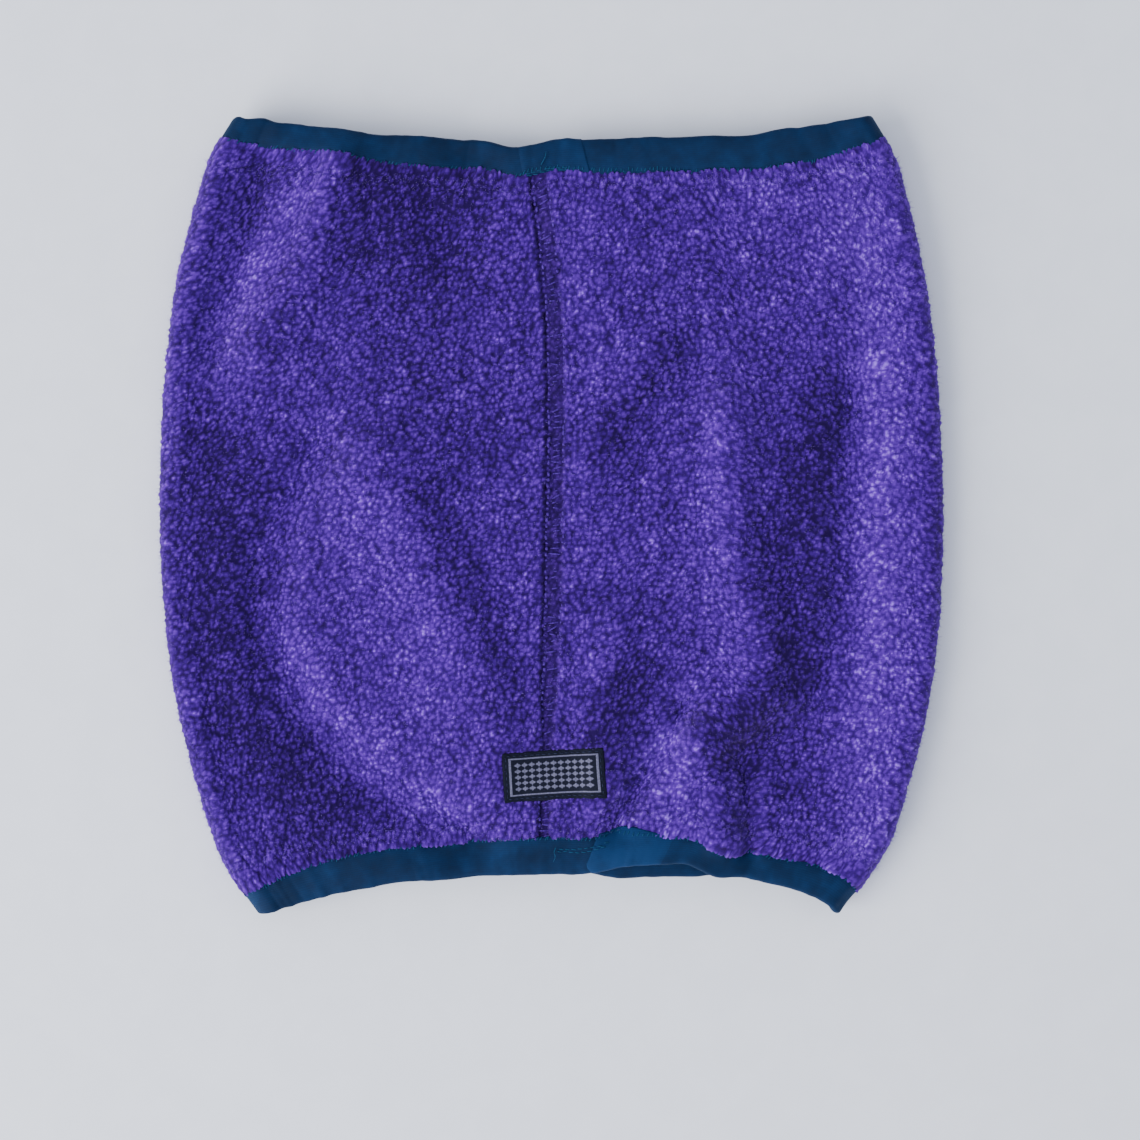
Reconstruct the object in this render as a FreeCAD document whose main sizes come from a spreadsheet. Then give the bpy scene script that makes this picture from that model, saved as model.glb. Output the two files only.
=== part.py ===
import FreeCAD, Part
import math
import os
import Sketcher

# A neck gaiter of napped fleece, lying flat: one fleece panel closed into a tube by a seam down
# its front, a folded stretch tape bound over each hem, a woven label, and the threads that hold
# them together. Millimetres. +X runs across the tube to the right, +Y runs from the lower hem to
# the upper one, +Z is up from the surface that the tube lies on. The origin is under its middle.

SIZES = {
    # The lying tube, seen from above. The hems are drawn in by their tapes, so it is a barrel.
    "middle_half_width": 133.5,
    "top_half_width": 115.0,
    "bottom_half_width": 106.8,
    "half_length": 134.0,
    "corner_height": 8.0,
    "top_sag": 9.5,
    "bottom_sag": 11.0,
    # Its height as it lies: two layers of fleece with the neck space between them.
    "fleece_thickness": 4.0,
    "neck_gap": 7.0,
    "fold_flat": 0.1,
    # The tapes over the hems, and the fleece pressed flat inside them.
    "tape_width": 11.0,
    "tape_thickness": 0.8,
    "pressed_fleece": 1.4,
    "tape_clearance": 0.1,
    "hem_dip": 0.6,
    "hem_tuck": 1.6,
    "join_length": 25.0,
    # The seam down the front: a butt joint under a flat two-needle seam.
    "seam_place": 1.0,
    "seam_gauge": 6.4,
    "seam_slit": 0.4,
    "groove_margin": 0.5,
    "groove_depth": 1.0,
    # Threads.
    "thread_width": 0.5,
    "thread_height": 0.3,
    "seam_pitch": 2.1,
    "seam_stitch": 1.5,
    "hem_pitch": 3.0,
    "hem_stitch": 1.9,
    "hem_stitch_inset": 1.8,
    # The label.
    "label_width": 34.6,
    "label_height": 16.8,
    "label_thickness": 0.8,
    "label_place": 0.8,
    "label_above_hem": 34.3,
    "label_turn": 3.4,
    "label_corner": 0.8,
    "label_stitch_inset": 1.2,
    "label_pitch": 2.0,
    "label_stitch": 1.3,
    # How far a cutting shape runs past what it cuts.
    "overrun": 6.0,
}

# Sizes that follow from others, as rules on the sheet. THICKNESS is the whole lying tube's height,
# TAPE_LAYER one bound hem's, SIDE_POINT how far up and down the side arcs' outer points are, and
# LABEL_Y the label's middle.
THICKNESS = "(2 * sizes.fleece_thickness + sizes.neck_gap)"
TAPE_LAYER = "(2 * sizes.tape_thickness + 2 * sizes.tape_clearance + sizes.pressed_fleece)"
SIDE_POINT = "(sizes.half_length - sizes.corner_height)"
LABEL_Y = "-(sizes.half_length - sizes.bottom_sag - sizes.label_above_hem)"

doc = FreeCAD.newDocument("neck_gaiter")
sheet = doc.addObject("Spreadsheet::Sheet", "sizes")


def fill_sheet():
    for row, (name, value) in enumerate(SIZES.items(), start=1):
        sheet.set("A%d" % row, name)
        sheet.set("B%d" % row, str(value))
        sheet.setAlias("B%d" % row, name)
    doc.recompute()


def size(name):
    return float(getattr(sheet, name))


def value(rule):
    """The number that a rule on the sheet's sizes comes to."""
    return float(sheet.evalExpression(rule))


def vector(x, y, z=0.0):
    return FreeCAD.Vector(x, y, z)


def new_sketch(body, name, height="0"):
    """An empty sketch on the body's own XY plane, at the given height over it."""
    planes = [p for p in body.Origin.OriginFeatures if p.Role == "XY_Plane"]
    sketch = body.newObject("Sketcher::SketchObject", name)
    sketch.AttachmentSupport = (planes[0], [""])
    sketch.MapMode = "FlatFace"
    sketch.setExpression("AttachmentOffset.Base.z", height)
    return sketch


def hold(sketch, name, constraint, rule):
    """Adds a dimension and binds it to a rule on the sheet's sizes."""
    index = sketch.addConstraint(constraint)
    sketch.renameConstraint(index, name)
    sketch.setExpression("Constraints." + name, rule)


def held_point(sketch, name, x_rule, y_rule):
    """A construction point held at the place that its two rules give."""
    place = vector(value(x_rule), value(y_rule))
    point = sketch.addGeometry(Part.Point(place), True)
    across = Sketcher.Constraint("DistanceX", -1, 1, point, 1, place.x)
    along = Sketcher.Constraint("DistanceY", -1, 1, point, 1, place.y)
    hold(sketch, name + "_x", across, x_rule)
    hold(sketch, name + "_y", along, y_rule)
    return point


def arc_through(sketch, name, rules):
    """An arc held by three points, each a pair of rules, in the order that turns left."""
    ends = [vector(value(x_rule), value(y_rule)) for x_rule, y_rule in rules]
    arc = sketch.addGeometry(Part.Arc(*ends))
    for number, (x_rule, y_rule) in enumerate(rules, start=1):
        point = held_point(sketch, "%s_%d" % (name, number), x_rule, y_rule)
        sketch.addConstraint(Sketcher.Constraint("PointOnObject", point, 1, arc))
    return arc


def side_rules(sign, inset):
    """The lying tube's side arc, from its lower reference point to its upper one."""
    places = (
        ("bottom_half_width", "-" + SIDE_POINT),
        ("middle_half_width", "0"),
        ("top_half_width", SIDE_POINT),
    )
    return [("%d * (sizes.%s - (%s))" % (sign, reach, inset), y) for reach, y in places]


def hem_rules(end, sign, shift):
    """One hem's arc, from its left corner through its dip to its right corner."""
    corner = "%d * (sizes.half_length + (%s))" % (sign, shift)
    dip = "%d * (sizes.half_length - sizes.%s_sag + (%s))" % (sign, end, shift)
    reach = "sizes.%s_half_width" % end
    return [("-" + reach, corner), ("0", dip), (reach, corner)]


def barrel_outline(sketch, inset, top_shift, bottom_shift):
    """The lying tube's outline, its sides moved in by inset and its ends out by the two shifts."""
    right = arc_through(sketch, "right", side_rules(1, inset))
    upper = arc_through(sketch, "upper", hem_rules("top", 1, top_shift))
    left = arc_through(sketch, "left", side_rules(-1, inset)[::-1])
    lower = arc_through(sketch, "lower", hem_rules("bottom", -1, bottom_shift)[::-1])
    for first, first_end, second, second_end in (
        (right, 2, upper, 2),
        (upper, 1, left, 1),
        (left, 2, lower, 2),
        (lower, 1, right, 1),
    ):
        corner = Sketcher.Constraint("Coincident", first, first_end, second, second_end)
        sketch.addConstraint(corner)


def lying_blank(name, inset, dip, top_shift, bottom_shift=None, rounded=True):
    """A flat solid with the lying tube's outline and, if rounded, full-round sides.

    inset moves its sides in, dip takes as much off its top and its bottom, and the shifts move
    its ends out, both of them by top_shift if no bottom_shift is given.
    """
    body = doc.addObject("PartDesign::Body", name)
    sketch = new_sketch(body, name + "_outline", dip)
    barrel_outline(sketch, inset, top_shift, bottom_shift or top_shift)
    height = "(%s - 2 * (%s))" % (THICKNESS, dip)
    pad = add_pad(body, sketch, name + "_pad", height)
    if rounded:
        add_fillet(
            body,
            pad,
            name + "_fold",
            lambda box: box.ZLength < 0.001 and box.XLength < box.YLength,
            "(%s - sizes.fold_flat) / 2" % height,
        )
    return body


def boolean(kind, name, base, tool):
    """A Part boolean of two objects: kind is Cut, Fuse or Common."""
    result = doc.addObject("Part::" + kind, name)
    result.Base = base
    result.Tool = tool
    return result


def shell(name, inset, dip, thickness, shift):
    """A tube wall of the given thickness, open at both ends."""
    outside = lying_blank(name + "_outside", inset, dip, shift)
    inside = lying_blank(
        name + "_inside",
        "%s + %s" % (inset, thickness),
        "%s + %s" % (dip, thickness),
        "%s + sizes.overrun" % shift,
    )
    return boolean("Cut", name, outside, inside)


def rectangle(sketch, name, x_rule, width_rule, length_rule):
    """A rectangle that stands along Y, centred on the X axis at x_rule."""
    middle = value(x_rule)
    half_w = value(width_rule) / 2
    half_l = value(length_rule) / 2
    corners = [
        vector(middle - half_w, -half_l),
        vector(middle + half_w, -half_l),
        vector(middle + half_w, half_l),
        vector(middle - half_w, half_l),
    ]
    lines = []
    for number in range(4):
        line = Part.LineSegment(corners[number], corners[(number + 1) % 4])
        lines.append(sketch.addGeometry(line))
    for number in range(4):
        following = lines[(number + 1) % 4]
        sketch.addConstraint(Sketcher.Constraint("Coincident", lines[number], 2, following, 1))
        kind = "Horizontal" if number % 2 == 0 else "Vertical"
        sketch.addConstraint(Sketcher.Constraint(kind, lines[number]))
    centre = held_point(sketch, name + "_middle", x_rule, "0")
    sketch.addConstraint(Sketcher.Constraint("Symmetric", lines[0], 1, lines[2], 1, centre, 1))
    across = Sketcher.Constraint("DistanceX", lines[0], 1, lines[0], 2, 2 * half_w)
    along = Sketcher.Constraint("DistanceY", lines[1], 1, lines[1], 2, 2 * half_l)
    hold(sketch, name + "_width", across, width_rule)
    hold(sketch, name + "_length", along, length_rule)


def add_pad(body, sketch, name, length_rule):
    pad = body.newObject("PartDesign::Pad", name)
    pad.Profile = sketch
    pad.setExpression("Length", length_rule)
    doc.recompute()
    return pad


def add_fillet(body, pad, name, chosen, radius_rule):
    """Rounds the pad's edges whose bounding box passes the chosen test."""
    edges = enumerate(pad.Shape.Edges, start=1)
    names = ["Edge%d" % number for number, edge in edges if chosen(edge.BoundBox)]
    fillet = body.newObject("PartDesign::Fillet", name)
    fillet.Base = (pad, names)
    fillet.setExpression("Radius", radius_rule)
    doc.recompute()


def seam_cutter():
    """What the seam takes from the panel: the slit between its edges and a groove over it."""
    body = doc.addObject("PartDesign::Body", "seam_cutter")
    length = "2 * (sizes.half_length + sizes.overrun)"
    slit = new_sketch(body, "slit_outline", THICKNESS + " / 2")
    rectangle(slit, "slit", "sizes.seam_place", "sizes.seam_slit", length)
    add_pad(body, slit, "slit_pad", THICKNESS + " / 2 + sizes.overrun")
    groove = new_sketch(body, "groove_outline", THICKNESS + " - sizes.groove_depth")
    width = "sizes.seam_gauge + sizes.thread_width + 2 * sizes.groove_margin"
    rectangle(groove, "groove", "sizes.seam_place", width, length)
    add_pad(body, groove, "groove_pad", "sizes.groove_depth + sizes.overrun")
    return body


def fleece_panel():
    """The one fleece panel: full pile between the tapes, pressed flat inside them, slit at the seam."""
    pile = shell("pile_wall", "0", "0", "sizes.fleece_thickness", "-sizes.tape_width")
    inset = "sizes.tape_thickness + sizes.tape_clearance"
    pressed = shell(
        "pressed_wall",
        "sizes.hem_tuck + " + inset,
        "sizes.hem_dip + " + inset,
        "sizes.pressed_fleece",
        "-sizes.tape_thickness - sizes.tape_clearance",
    )
    tube = boolean("Fuse", "fleece_tube", pile, pressed)
    panel = boolean("Cut", "fleece_panel", tube, seam_cutter())
    return panel


def join_layer():
    """The second layer of tape where a binding's two ends lap, on the front of both hems."""
    raised = lying_blank(
        "join_blank", "sizes.hem_tuck", "sizes.hem_dip - sizes.tape_thickness", "0"
    )
    box = doc.addObject("Part::Box", "join_box")
    box.setExpression("Length", "sizes.join_length")
    box.setExpression("Width", "2 * (sizes.half_length + sizes.overrun)")
    box.setExpression("Height", "sizes.overrun")
    box.setExpression("Placement.Base.x", "sizes.seam_place - sizes.join_length / 2")
    box.setExpression("Placement.Base.y", "-(sizes.half_length + sizes.overrun)")
    box.setExpression("Placement.Base.z", THICKNESS + " - sizes.hem_dip")
    return boolean("Common", "join_layer", raised, box)


def bindings():
    """Both tapes: each folded over its hem, lapped at the seam, and cut from one double wall."""
    folded = shell("tape_wall", "sizes.hem_tuck", "sizes.hem_dip", TAPE_LAYER, "0")
    slot = shell(
        "hem_slot",
        "sizes.hem_tuck + sizes.tape_thickness",
        "sizes.hem_dip + sizes.tape_thickness",
        "(sizes.pressed_fleece + 2 * sizes.tape_clearance)",
        "-sizes.tape_thickness",
    )
    doubled = boolean("Cut", "doubled_tape", folded, slot)
    lapped = boolean("Fuse", "lapped_tape", doubled, join_layer())
    edge = "-sizes.tape_width + sizes.tape_clearance"
    beyond = "4 * sizes.overrun"
    outward = "-2 * sizes.overrun"
    dip = "-sizes.overrun"
    below_top = lying_blank("below_top_tape", outward, dip, edge, beyond, rounded=False)
    above_bottom = lying_blank("above_bottom_tape", outward, dip, beyond, edge, rounded=False)
    top = boolean("Cut", "top_binding", lapped, below_top)
    bottom = boolean("Cut", "bottom_binding", lapped, above_bottom)
    return [top, bottom]


def woven_label():
    body = doc.addObject("PartDesign::Body", "woven_label")
    sketch = new_sketch(body, "label_outline")
    rectangle(sketch, "label", "0", "sizes.label_width", "sizes.label_height")
    pad = add_pad(body, sketch, "label_pad", "sizes.label_thickness")
    add_fillet(
        body,
        pad,
        "label_corners",
        lambda box: box.XLength < 0.001 and box.YLength < 0.001,
        "sizes.label_corner",
    )
    lay_on_front(body, "0")
    return body


def lay_on_front(thing, height):
    """Puts something made round its own origin where the label lies, height above the pile."""
    thing.setExpression("Placement.Base.x", "sizes.label_place")
    thing.setExpression("Placement.Base.y", LABEL_Y)
    thing.setExpression("Placement.Base.z", THICKNESS + " + " + height)
    thing.setExpression("Placement.Rotation.Angle", "sizes.label_turn")


def stitch(place, along, out, length):
    """One visible stitch: a short bar on a surface at place, lying along, standing out of it."""
    width = size("thread_width")
    bar = Part.makeBox(length, width, size("thread_height"), vector(-length / 2, -width / 2))
    turn = FreeCAD.Rotation(along, out.cross(along), out, "ZXY")
    bar.Placement = FreeCAD.Placement(place, turn)
    return bar


def stitch_row(name, bars):
    """A node that holds one thread's stitches as separate solids."""
    row = doc.addObject("Part::Feature", name)
    row.Shape = Part.makeCompound(bars)
    return row


def steps(reach, pitch):
    """Places a pitch apart, centred on 0 and within reach of it."""
    count = int(2 * reach / pitch)
    return [(number - (count - 1) / 2) * pitch for number in range(count)]


def circle_through(rules):
    ends = [vector(value(x_rule), value(y_rule)) for x_rule, y_rule in rules]
    return Part.Arc(*ends).toShape().Curve


def seam_rows():
    """The seam's four threads: two needle rows, the cover thread between them, the loops inside."""
    pitch = size("seam_pitch")
    deepest = max(size("top_sag"), size("bottom_sag"))
    reach = size("half_length") - size("tape_width") - deepest - pitch
    gauge = size("seam_gauge")
    floor = value(THICKNESS + " - sizes.groove_depth")
    ceiling = value(THICKNESS + " - sizes.fleece_thickness")
    middle = size("seam_place")
    up = vector(0, 0, 1)
    along = vector(0, 1)
    rung = gauge - size("thread_width") - 4 * size("tape_clearance")
    rising = vector(rung, pitch / 4).normalize()
    falling = vector(rung, -pitch / 4).normalize()
    left, right, cover, inside = [], [], [], []
    for y in steps(reach, pitch):
        left.append(stitch(vector(middle - gauge / 2, y, floor), along, up, size("seam_stitch")))
        right.append(stitch(vector(middle + gauge / 2, y, floor), along, up, size("seam_stitch")))
        cover.append(stitch(vector(middle, y, floor), rising, up, rung))
        inside.append(stitch(vector(middle, y, ceiling), falling, -up, gauge))
    return [
        stitch_row("seam_needle_thread_left", left),
        stitch_row("seam_needle_thread_right", right),
        stitch_row("seam_cover_thread", cover),
        stitch_row("seam_looper_thread", inside),
    ]


class HemLine:
    """The line that one binding's stitches follow, depth under its face, on two circles."""

    def __init__(self, end, sign, depth):
        self.sign = sign
        self.radius = value("%s / 2 - sizes.hem_dip - %s" % (THICKNESS, depth))
        shift = "-sizes.tape_width + sizes.hem_stitch_inset"
        self.hem = circle_through(hem_rules(end, sign, shift))
        self.side = circle_through(side_rules(1, "sizes.hem_tuck + " + depth))
        corner = self.height(size(end + "_half_width") - self.radius)
        self.straight = self.fold_centre(corner).x

    def height(self, x):
        """Y of the line at x."""
        return self.hem.Center.y - self.sign * math.sqrt(self.hem.Radius**2 - x**2)

    def fold_centre(self, y):
        """The side fold's centre at y, on the circle one radius inside the side's own."""
        reach = self.side.Radius - self.radius
        out = math.sqrt(reach**2 - (y - self.side.Center.y) ** 2)
        return vector(self.side.Center.x + out, y)

    def fold_way(self, y):
        """Which way the side faces at y, in the lying plane."""
        return (self.fold_centre(y) - self.side.Center).normalize()


def flat_stitches(line, outside):
    """The stitches along the line on the front and back layers, over the tape's lap too."""
    length = size("hem_stitch")
    middle = value(THICKNESS + " / 2")
    bars = []
    for x in steps(line.straight, size("hem_pitch")):
        y = line.height(x)
        along = vector(1.0, line.height(x + 0.5) - line.height(x - 0.5)).normalize()
        past_lap = abs(x - size("seam_place")) - size("join_length") / 2
        for face in (1, -1):
            on_lap_side = outside and face > 0
            if on_lap_side and abs(past_lap) < length:
                continue
            lift = size("tape_thickness") if on_lap_side and past_lap < 0 else 0.0
            place = vector(x, y, middle + face * (line.radius + lift))
            out = vector(0, 0, face if outside else -face)
            bars.append(stitch(place, along, out, length))
    return bars


def mirrored(way, face):
    """The same vector on the right side, where face is 1, or the left, where it is -1."""
    return vector(face * way.x, way.y, way.z)


def fold_stitches(line, outside):
    """The stitches round the two side folds. Inside the fold they are short, to clear the tape."""
    length = size("hem_stitch") if outside else size("hem_stitch") / 2
    lift = 2 * size("tape_clearance") if outside else -2 * size("tape_clearance")
    middle = value(THICKNESS + " / 2")
    up = vector(0, 0, 1)
    count = int(math.pi * line.radius / size("hem_pitch"))
    bars = []
    for number in range(count):
        angle = -math.pi / 2 + (number + 0.5) * math.pi / count
        y = line.height(line.straight + line.radius * math.cos(angle))
        way = line.fold_way(y)
        out = way * math.cos(angle) + up * math.sin(angle)
        along = up * math.cos(angle) - way * math.sin(angle)
        centre = line.fold_centre(y - line.radius * out.y) + up * middle
        place = centre + out * (line.radius + lift)
        if not outside:
            out = -out
        for face in (1, -1):
            bar = stitch(mirrored(place, face), mirrored(along, face), mirrored(out, face), length)
            bars.append(bar)
    return bars


def hem_row(name, end, sign, outside):
    """The stitches of one thread round one hem, on the outside of its tape or inside it."""
    line = HemLine(end, sign, "0" if outside else TAPE_LAYER)
    return stitch_row(name, flat_stitches(line, outside) + fold_stitches(line, outside))


def tack(name, end, sign):
    """The column of stitches that closes the lap of a binding."""
    middle = sign * value("sizes.half_length - sizes.%s_sag - sizes.tape_width / 2" % end)
    x = value("sizes.seam_place - sizes.join_length / 2 + 2 * sizes.hem_stitch")
    z = value(THICKNESS + " - sizes.hem_dip + sizes.tape_thickness")
    reach = value("sizes.tape_width / 2 - sizes.hem_stitch_inset - sizes.thread_width")
    bars = []
    for step in steps(reach, 2 * size("thread_width")):
        place = vector(x, middle + step, z)
        bars.append(stitch(place, vector(1, 0), vector(0, 0, 1), size("hem_stitch")))
    return stitch_row(name, bars)


def label_row():
    """The stitches round the label, on its face, just inside its edge."""
    half_w = size("label_width") / 2 - size("label_stitch_inset")
    half_h = size("label_height") / 2 - size("label_stitch_inset")
    pitch = size("label_pitch")
    length = size("label_stitch")
    up = vector(0, 0, 1)
    bars = []
    for sign in (1, -1):
        for x in steps(half_w, pitch):
            bars.append(stitch(vector(x, sign * half_h), vector(1, 0), up, length))
        for y in steps(half_h - pitch / 2, pitch):
            bars.append(stitch(vector(sign * half_w, y), vector(0, 1), up, length))
    row = stitch_row("label_stitching", bars)
    lay_on_front(row, "sizes.label_thickness")
    return row


def build():
    fill_sheet()
    nodes = [fleece_panel()]
    nodes += bindings()
    nodes.append(woven_label())
    nodes += seam_rows()
    for end, sign in (("top", 1), ("bottom", -1)):
        nodes.append(hem_row(end + "_binding_needle_thread", end, sign, True))
        nodes.append(hem_row(end + "_binding_looper_thread", end, sign, False))
        nodes.append(tack(end + "_join_tack", end, sign))
    nodes.append(label_row())
    doc.recompute()
    return nodes


def check(nodes):
    for thing in doc.Objects:
        for state in ("Invalid", "Error"):
            if state in thing.State:
                raise RuntimeError(thing.Label + " is " + state)
    for node in nodes:
        shape = node.Shape
        if shape.isNull() or not shape.isValid() or not shape.Solids:
            raise RuntimeError(node.Label + " has no valid solid")


def write(nodes):
    os.makedirs("parts", exist_ok=True)
    for node in nodes:
        node.Shape.exportStep("parts/" + node.Label + ".step")
        box = node.Shape.BoundBox
        print(
            "%-28s %4d solids %9.1f mm3  x %.1f %.1f  y %.1f %.1f  z %.2f %.2f"
            % (
                node.Label,
                len(node.Shape.Solids),
                node.Shape.Volume,
                box.XMin,
                box.XMax,
                box.YMin,
                box.YMax,
                box.ZMin,
                box.ZMax,
            )
        )


nodes = build()
check(nodes)
write(nodes)
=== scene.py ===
# %% [markdown]
# # A fleece neck gaiter, lying flat
# The object is a tube of napped fleece with a stretch tape folded over each hem, a flat seam
# down its front and a small woven label over the seam. The frame below brings in the solid
# model, in metres, with +Y towards the upper hem and +Z up from the table. Everything made
# here is fitted to it: the plain solids stay for collision, and these pieces are what shows.

# %% Load the frame
import math
from collections import namedtuple

import bpy
import numpy as np
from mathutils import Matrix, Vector


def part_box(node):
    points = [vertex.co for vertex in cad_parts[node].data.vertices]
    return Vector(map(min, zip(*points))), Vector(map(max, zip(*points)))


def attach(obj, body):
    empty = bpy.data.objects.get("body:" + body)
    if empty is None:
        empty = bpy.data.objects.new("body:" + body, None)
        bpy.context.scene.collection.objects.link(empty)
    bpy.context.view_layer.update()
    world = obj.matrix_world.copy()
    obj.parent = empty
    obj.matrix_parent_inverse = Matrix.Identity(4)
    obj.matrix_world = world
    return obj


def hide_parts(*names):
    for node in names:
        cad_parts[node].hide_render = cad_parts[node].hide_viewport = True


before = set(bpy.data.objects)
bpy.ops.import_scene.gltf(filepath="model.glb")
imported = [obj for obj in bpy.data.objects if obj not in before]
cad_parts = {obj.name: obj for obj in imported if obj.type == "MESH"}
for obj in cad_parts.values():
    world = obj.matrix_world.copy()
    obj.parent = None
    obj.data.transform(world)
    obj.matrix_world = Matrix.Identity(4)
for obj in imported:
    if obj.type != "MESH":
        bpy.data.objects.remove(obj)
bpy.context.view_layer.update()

MM = 0.001

# %% [markdown]
# ## The sizes that everything is fitted to
# A designer reads sizes off the model and writes none twice. The tube's outline is a barrel,
# because the tapes draw its hems in: each side is one arc through the widest point and the
# two hem corners. All the working sizes below are in millimetres.

# %% Read the outline off the solids
def box_mm(node):
    low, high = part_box(node)
    return np.array(low) / MM, np.array(high) / MM


_, fleece_high = box_mm("fleece_panel")
_, top_high = box_mm("top_binding")
bottom_low, bottom_high = box_mm("bottom_binding")
label_low, label_high = box_mm("woven_label")

ENDS = ("top", "bottom")
WIDEST = fleece_high[0]
LYING_HEIGHT = fleece_high[2]
# one layer of pile, and half of it where a tape presses it flat
LAYER = 4.0
PRESSED = 0.7
# a tape's thickness, its room over the fleece, and how far each leg reaches from the hem
TAPE = 0.75
TAPE_ROOM = 0.05
TAPE_WIDTH = 11.6
# the side folds' radius, to the middle of the layer
FOLD = LYING_HEIGHT / 2 - LAYER / 2


def arc_through(first, middle, last):
    """Centre and radius of the circle through three (x, y) points."""
    rows = [[2 * p[0], 2 * p[1], 1.0] for p in (first, middle, last)]
    squares = [p[0] ** 2 + p[1] ** 2 for p in (first, middle, last)]
    x, y, rest = np.linalg.solve(np.array(rows), np.array(squares))
    return x, y, math.sqrt(rest + x * x + y * y)


side_arc = arc_through(
    (bottom_high[0], bottom_low[1]), (WIDEST, 0.0), (top_high[0], top_high[1])
)


def reach(y):
    """Half the tube's width at y."""
    return side_arc[0] + np.sqrt(side_arc[2] ** 2 - (y - side_arc[1]) ** 2)


print("half width at the hems and the middle:", np.round(reach(np.array([-134.0, 0, 134.0])), 1))

# %% [markdown]
# ## Camera
# The gaiter is seen from straight above, a little off its centre. A longish lens at three
# quarters of a metre keeps the sides from leaning.

# %% Camera
CAMERA_X = 6.3
CAMERA_Y = -19.4
CAMERA_DISTANCE = 753.0
FRAME_WIDTH = 387.6
SENSOR = 36.0

camera_data = bpy.data.cameras.new("overhead_camera")
camera_data.sensor_width = SENSOR
camera_data.lens = SENSOR * CAMERA_DISTANCE / FRAME_WIDTH
camera = bpy.data.objects.new("overhead_camera", camera_data)
camera.location = (CAMERA_X * MM, CAMERA_Y * MM, (CAMERA_DISTANCE + LYING_HEIGHT / 2) * MM)
bpy.context.scene.collection.objects.link(camera)
bpy.context.scene.camera = camera
print("lens, mm:", round(camera_data.lens, 1))

# %% [markdown]
# ## Where the hems run
# Each tape draws its hem into a shallow hollow curve. The upper hem has a small notch where
# the tape's two ends lap. The lower hem is nearly straight in the middle and falls away at
# its corners, and its front layer rides up a little to the right of the seam, so that the
# back layer shows under it.

# %% Hem curves
def smooth(edge, far, x):
    """0 before edge, 1 after far, and an even S between them."""
    share = np.clip((x - edge) / (far - edge), 0.0, 1.0)
    return share * share * (3 - 2 * share)


UPPER_HEM = 126.3
LOWER_HEM = -123.1


def upper_hem(x):
    notch = 1.7 * np.exp(-(((x + 12.0) / 9.0) ** 2))
    waves = 0.35 * np.sin(x / 8.3) + 0.25 * np.sin(x / 4.1 + 1.0)
    sag = 1.4 * np.exp(-(((x - 68.0) / 15.0) ** 2)) - 0.8 * np.exp(-(((x - 36.0) / 9.0) ** 2))
    return UPPER_HEM + 8.2 * (np.abs(x) / 112.0) ** 2 - notch - sag + waves


def lower_hem(x):
    left = 12.0 * (np.maximum(-x, 0) / 101.0) ** 2.2
    right = 10.8 * (np.maximum(x, 0) / 101.0) ** 5.0
    belly = 2.1 * smooth(3.0, 28.0, x) * (1 - smooth(46.0, 66.0, x))
    waves = 0.3 * np.sin(x / 9.1 + 2.0) + 0.2 * np.sin(x / 4.7)
    return LOWER_HEM - left - right - belly + waves


FRONT_LIFT = 6.2


def front_lift(x):
    """How far the front layer rides up over the back one at the lower hem."""
    return FRONT_LIFT * smooth(6.0, 28.0, x) * (1 - smooth(44.0, 60.0, x))


def seam_x(y):
    """Where the seam runs: it bows a little, and leans left at both hems."""
    heights = [-130.0, -95.0, -30.0, 35.0, 62.0, 95.0, 118.0, 134.0]
    places = [-3.2, -1.6, 0.8, 1.9, 1.6, -1.6, -4.8, -6.5]
    return np.interp(y, heights, places)


def side_trim(x, y):
    """How far each side stands out past the even barrel: no two sides of a soft tube match."""
    heights = [-130.0, -111.0, -66.0, -20.0, 25.0, 75.0, 115.0, 134.0]
    left = [-0.8, 1.0, 1.7, 0.7, -0.7, 0.4, -1.4, -1.0]
    right = [-2.8, 1.9, 2.6, 0.9, -0.8, -0.1, -0.5, 0.0]
    return np.where(x < 0, np.interp(y, heights, left), np.interp(y, heights, right))


print("hem to hem on the middle line, mm:", round(upper_hem(0.0) - lower_hem(0.0), 1))

# %% [markdown]
# ## The lie of the cloth
# Soft cloth is never flat. The front layer rises and sinks in a few broad folds, and each is
# put in as a stroke: a line of points with a width and a height, like a finger drawn
# through sand. Positive strokes are ridges, negative ones are hollows.

# %% Strokes for the folds of the front layer
FOLD_GAIN = 1.45
STROKES = [
    # points, half width, height
    ([(-98, 118), (-109, 78), (-116, 56)], 7.0, -2.8),
    ([(-71, 118), (-79, 87), (-98, 56)], 9.0, 3.4),
    ([(-27, 118), (-35, 90)], 12.0, -2.6),
    ([(-79, 22), (-96, -9), (-98, -37), (-86, -68), (-64, -89), (-30, -109)], 10.0, -3.8),
    ([(-58, 16), (-41, -18), (-24, -51), (-19, -82)], 16.0, 3.0),
    ([(12, 19), (35, 56)], 6.0, 1.6),
    ([(29, 11), (49, 47)], 7.0, -1.5),
    ([(61, 36), (63, -12), (71, -40), (71, -60), (59, -72), (48, -78)], 8.0, 3.2),
    ([(103, 45), (103, -6), (100, -46), (90, -72), (70, -85), (55, -87)], 9.0, -3.4),
    ([(45, -67), (38, -82), (22, -106)], 6.0, -3.6),
    ([(21, -40), (15, -65), (16, -91)], 9.0, 2.4),
    ([(55, -85), (57, -110)], 6.0, 2.8),
    ([(66, -91), (67, -115)], 3.2, -3.2),
]


def stroke_distance(x, y, points):
    """How far each (x, y) is from a line of points."""
    nearest = np.full(np.shape(x), 1e9)
    for (ax, ay), (bx, by) in zip(points[:-1], points[1:]):
        dx, dy = bx - ax, by - ay
        share = np.clip(((x - ax) * dx + (y - ay) * dy) / (dx * dx + dy * dy), 0, 1)
        away = np.hypot(x - ax - share * dx, y - ay - share * dy)
        nearest = np.minimum(nearest, away)
    return nearest


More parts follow.
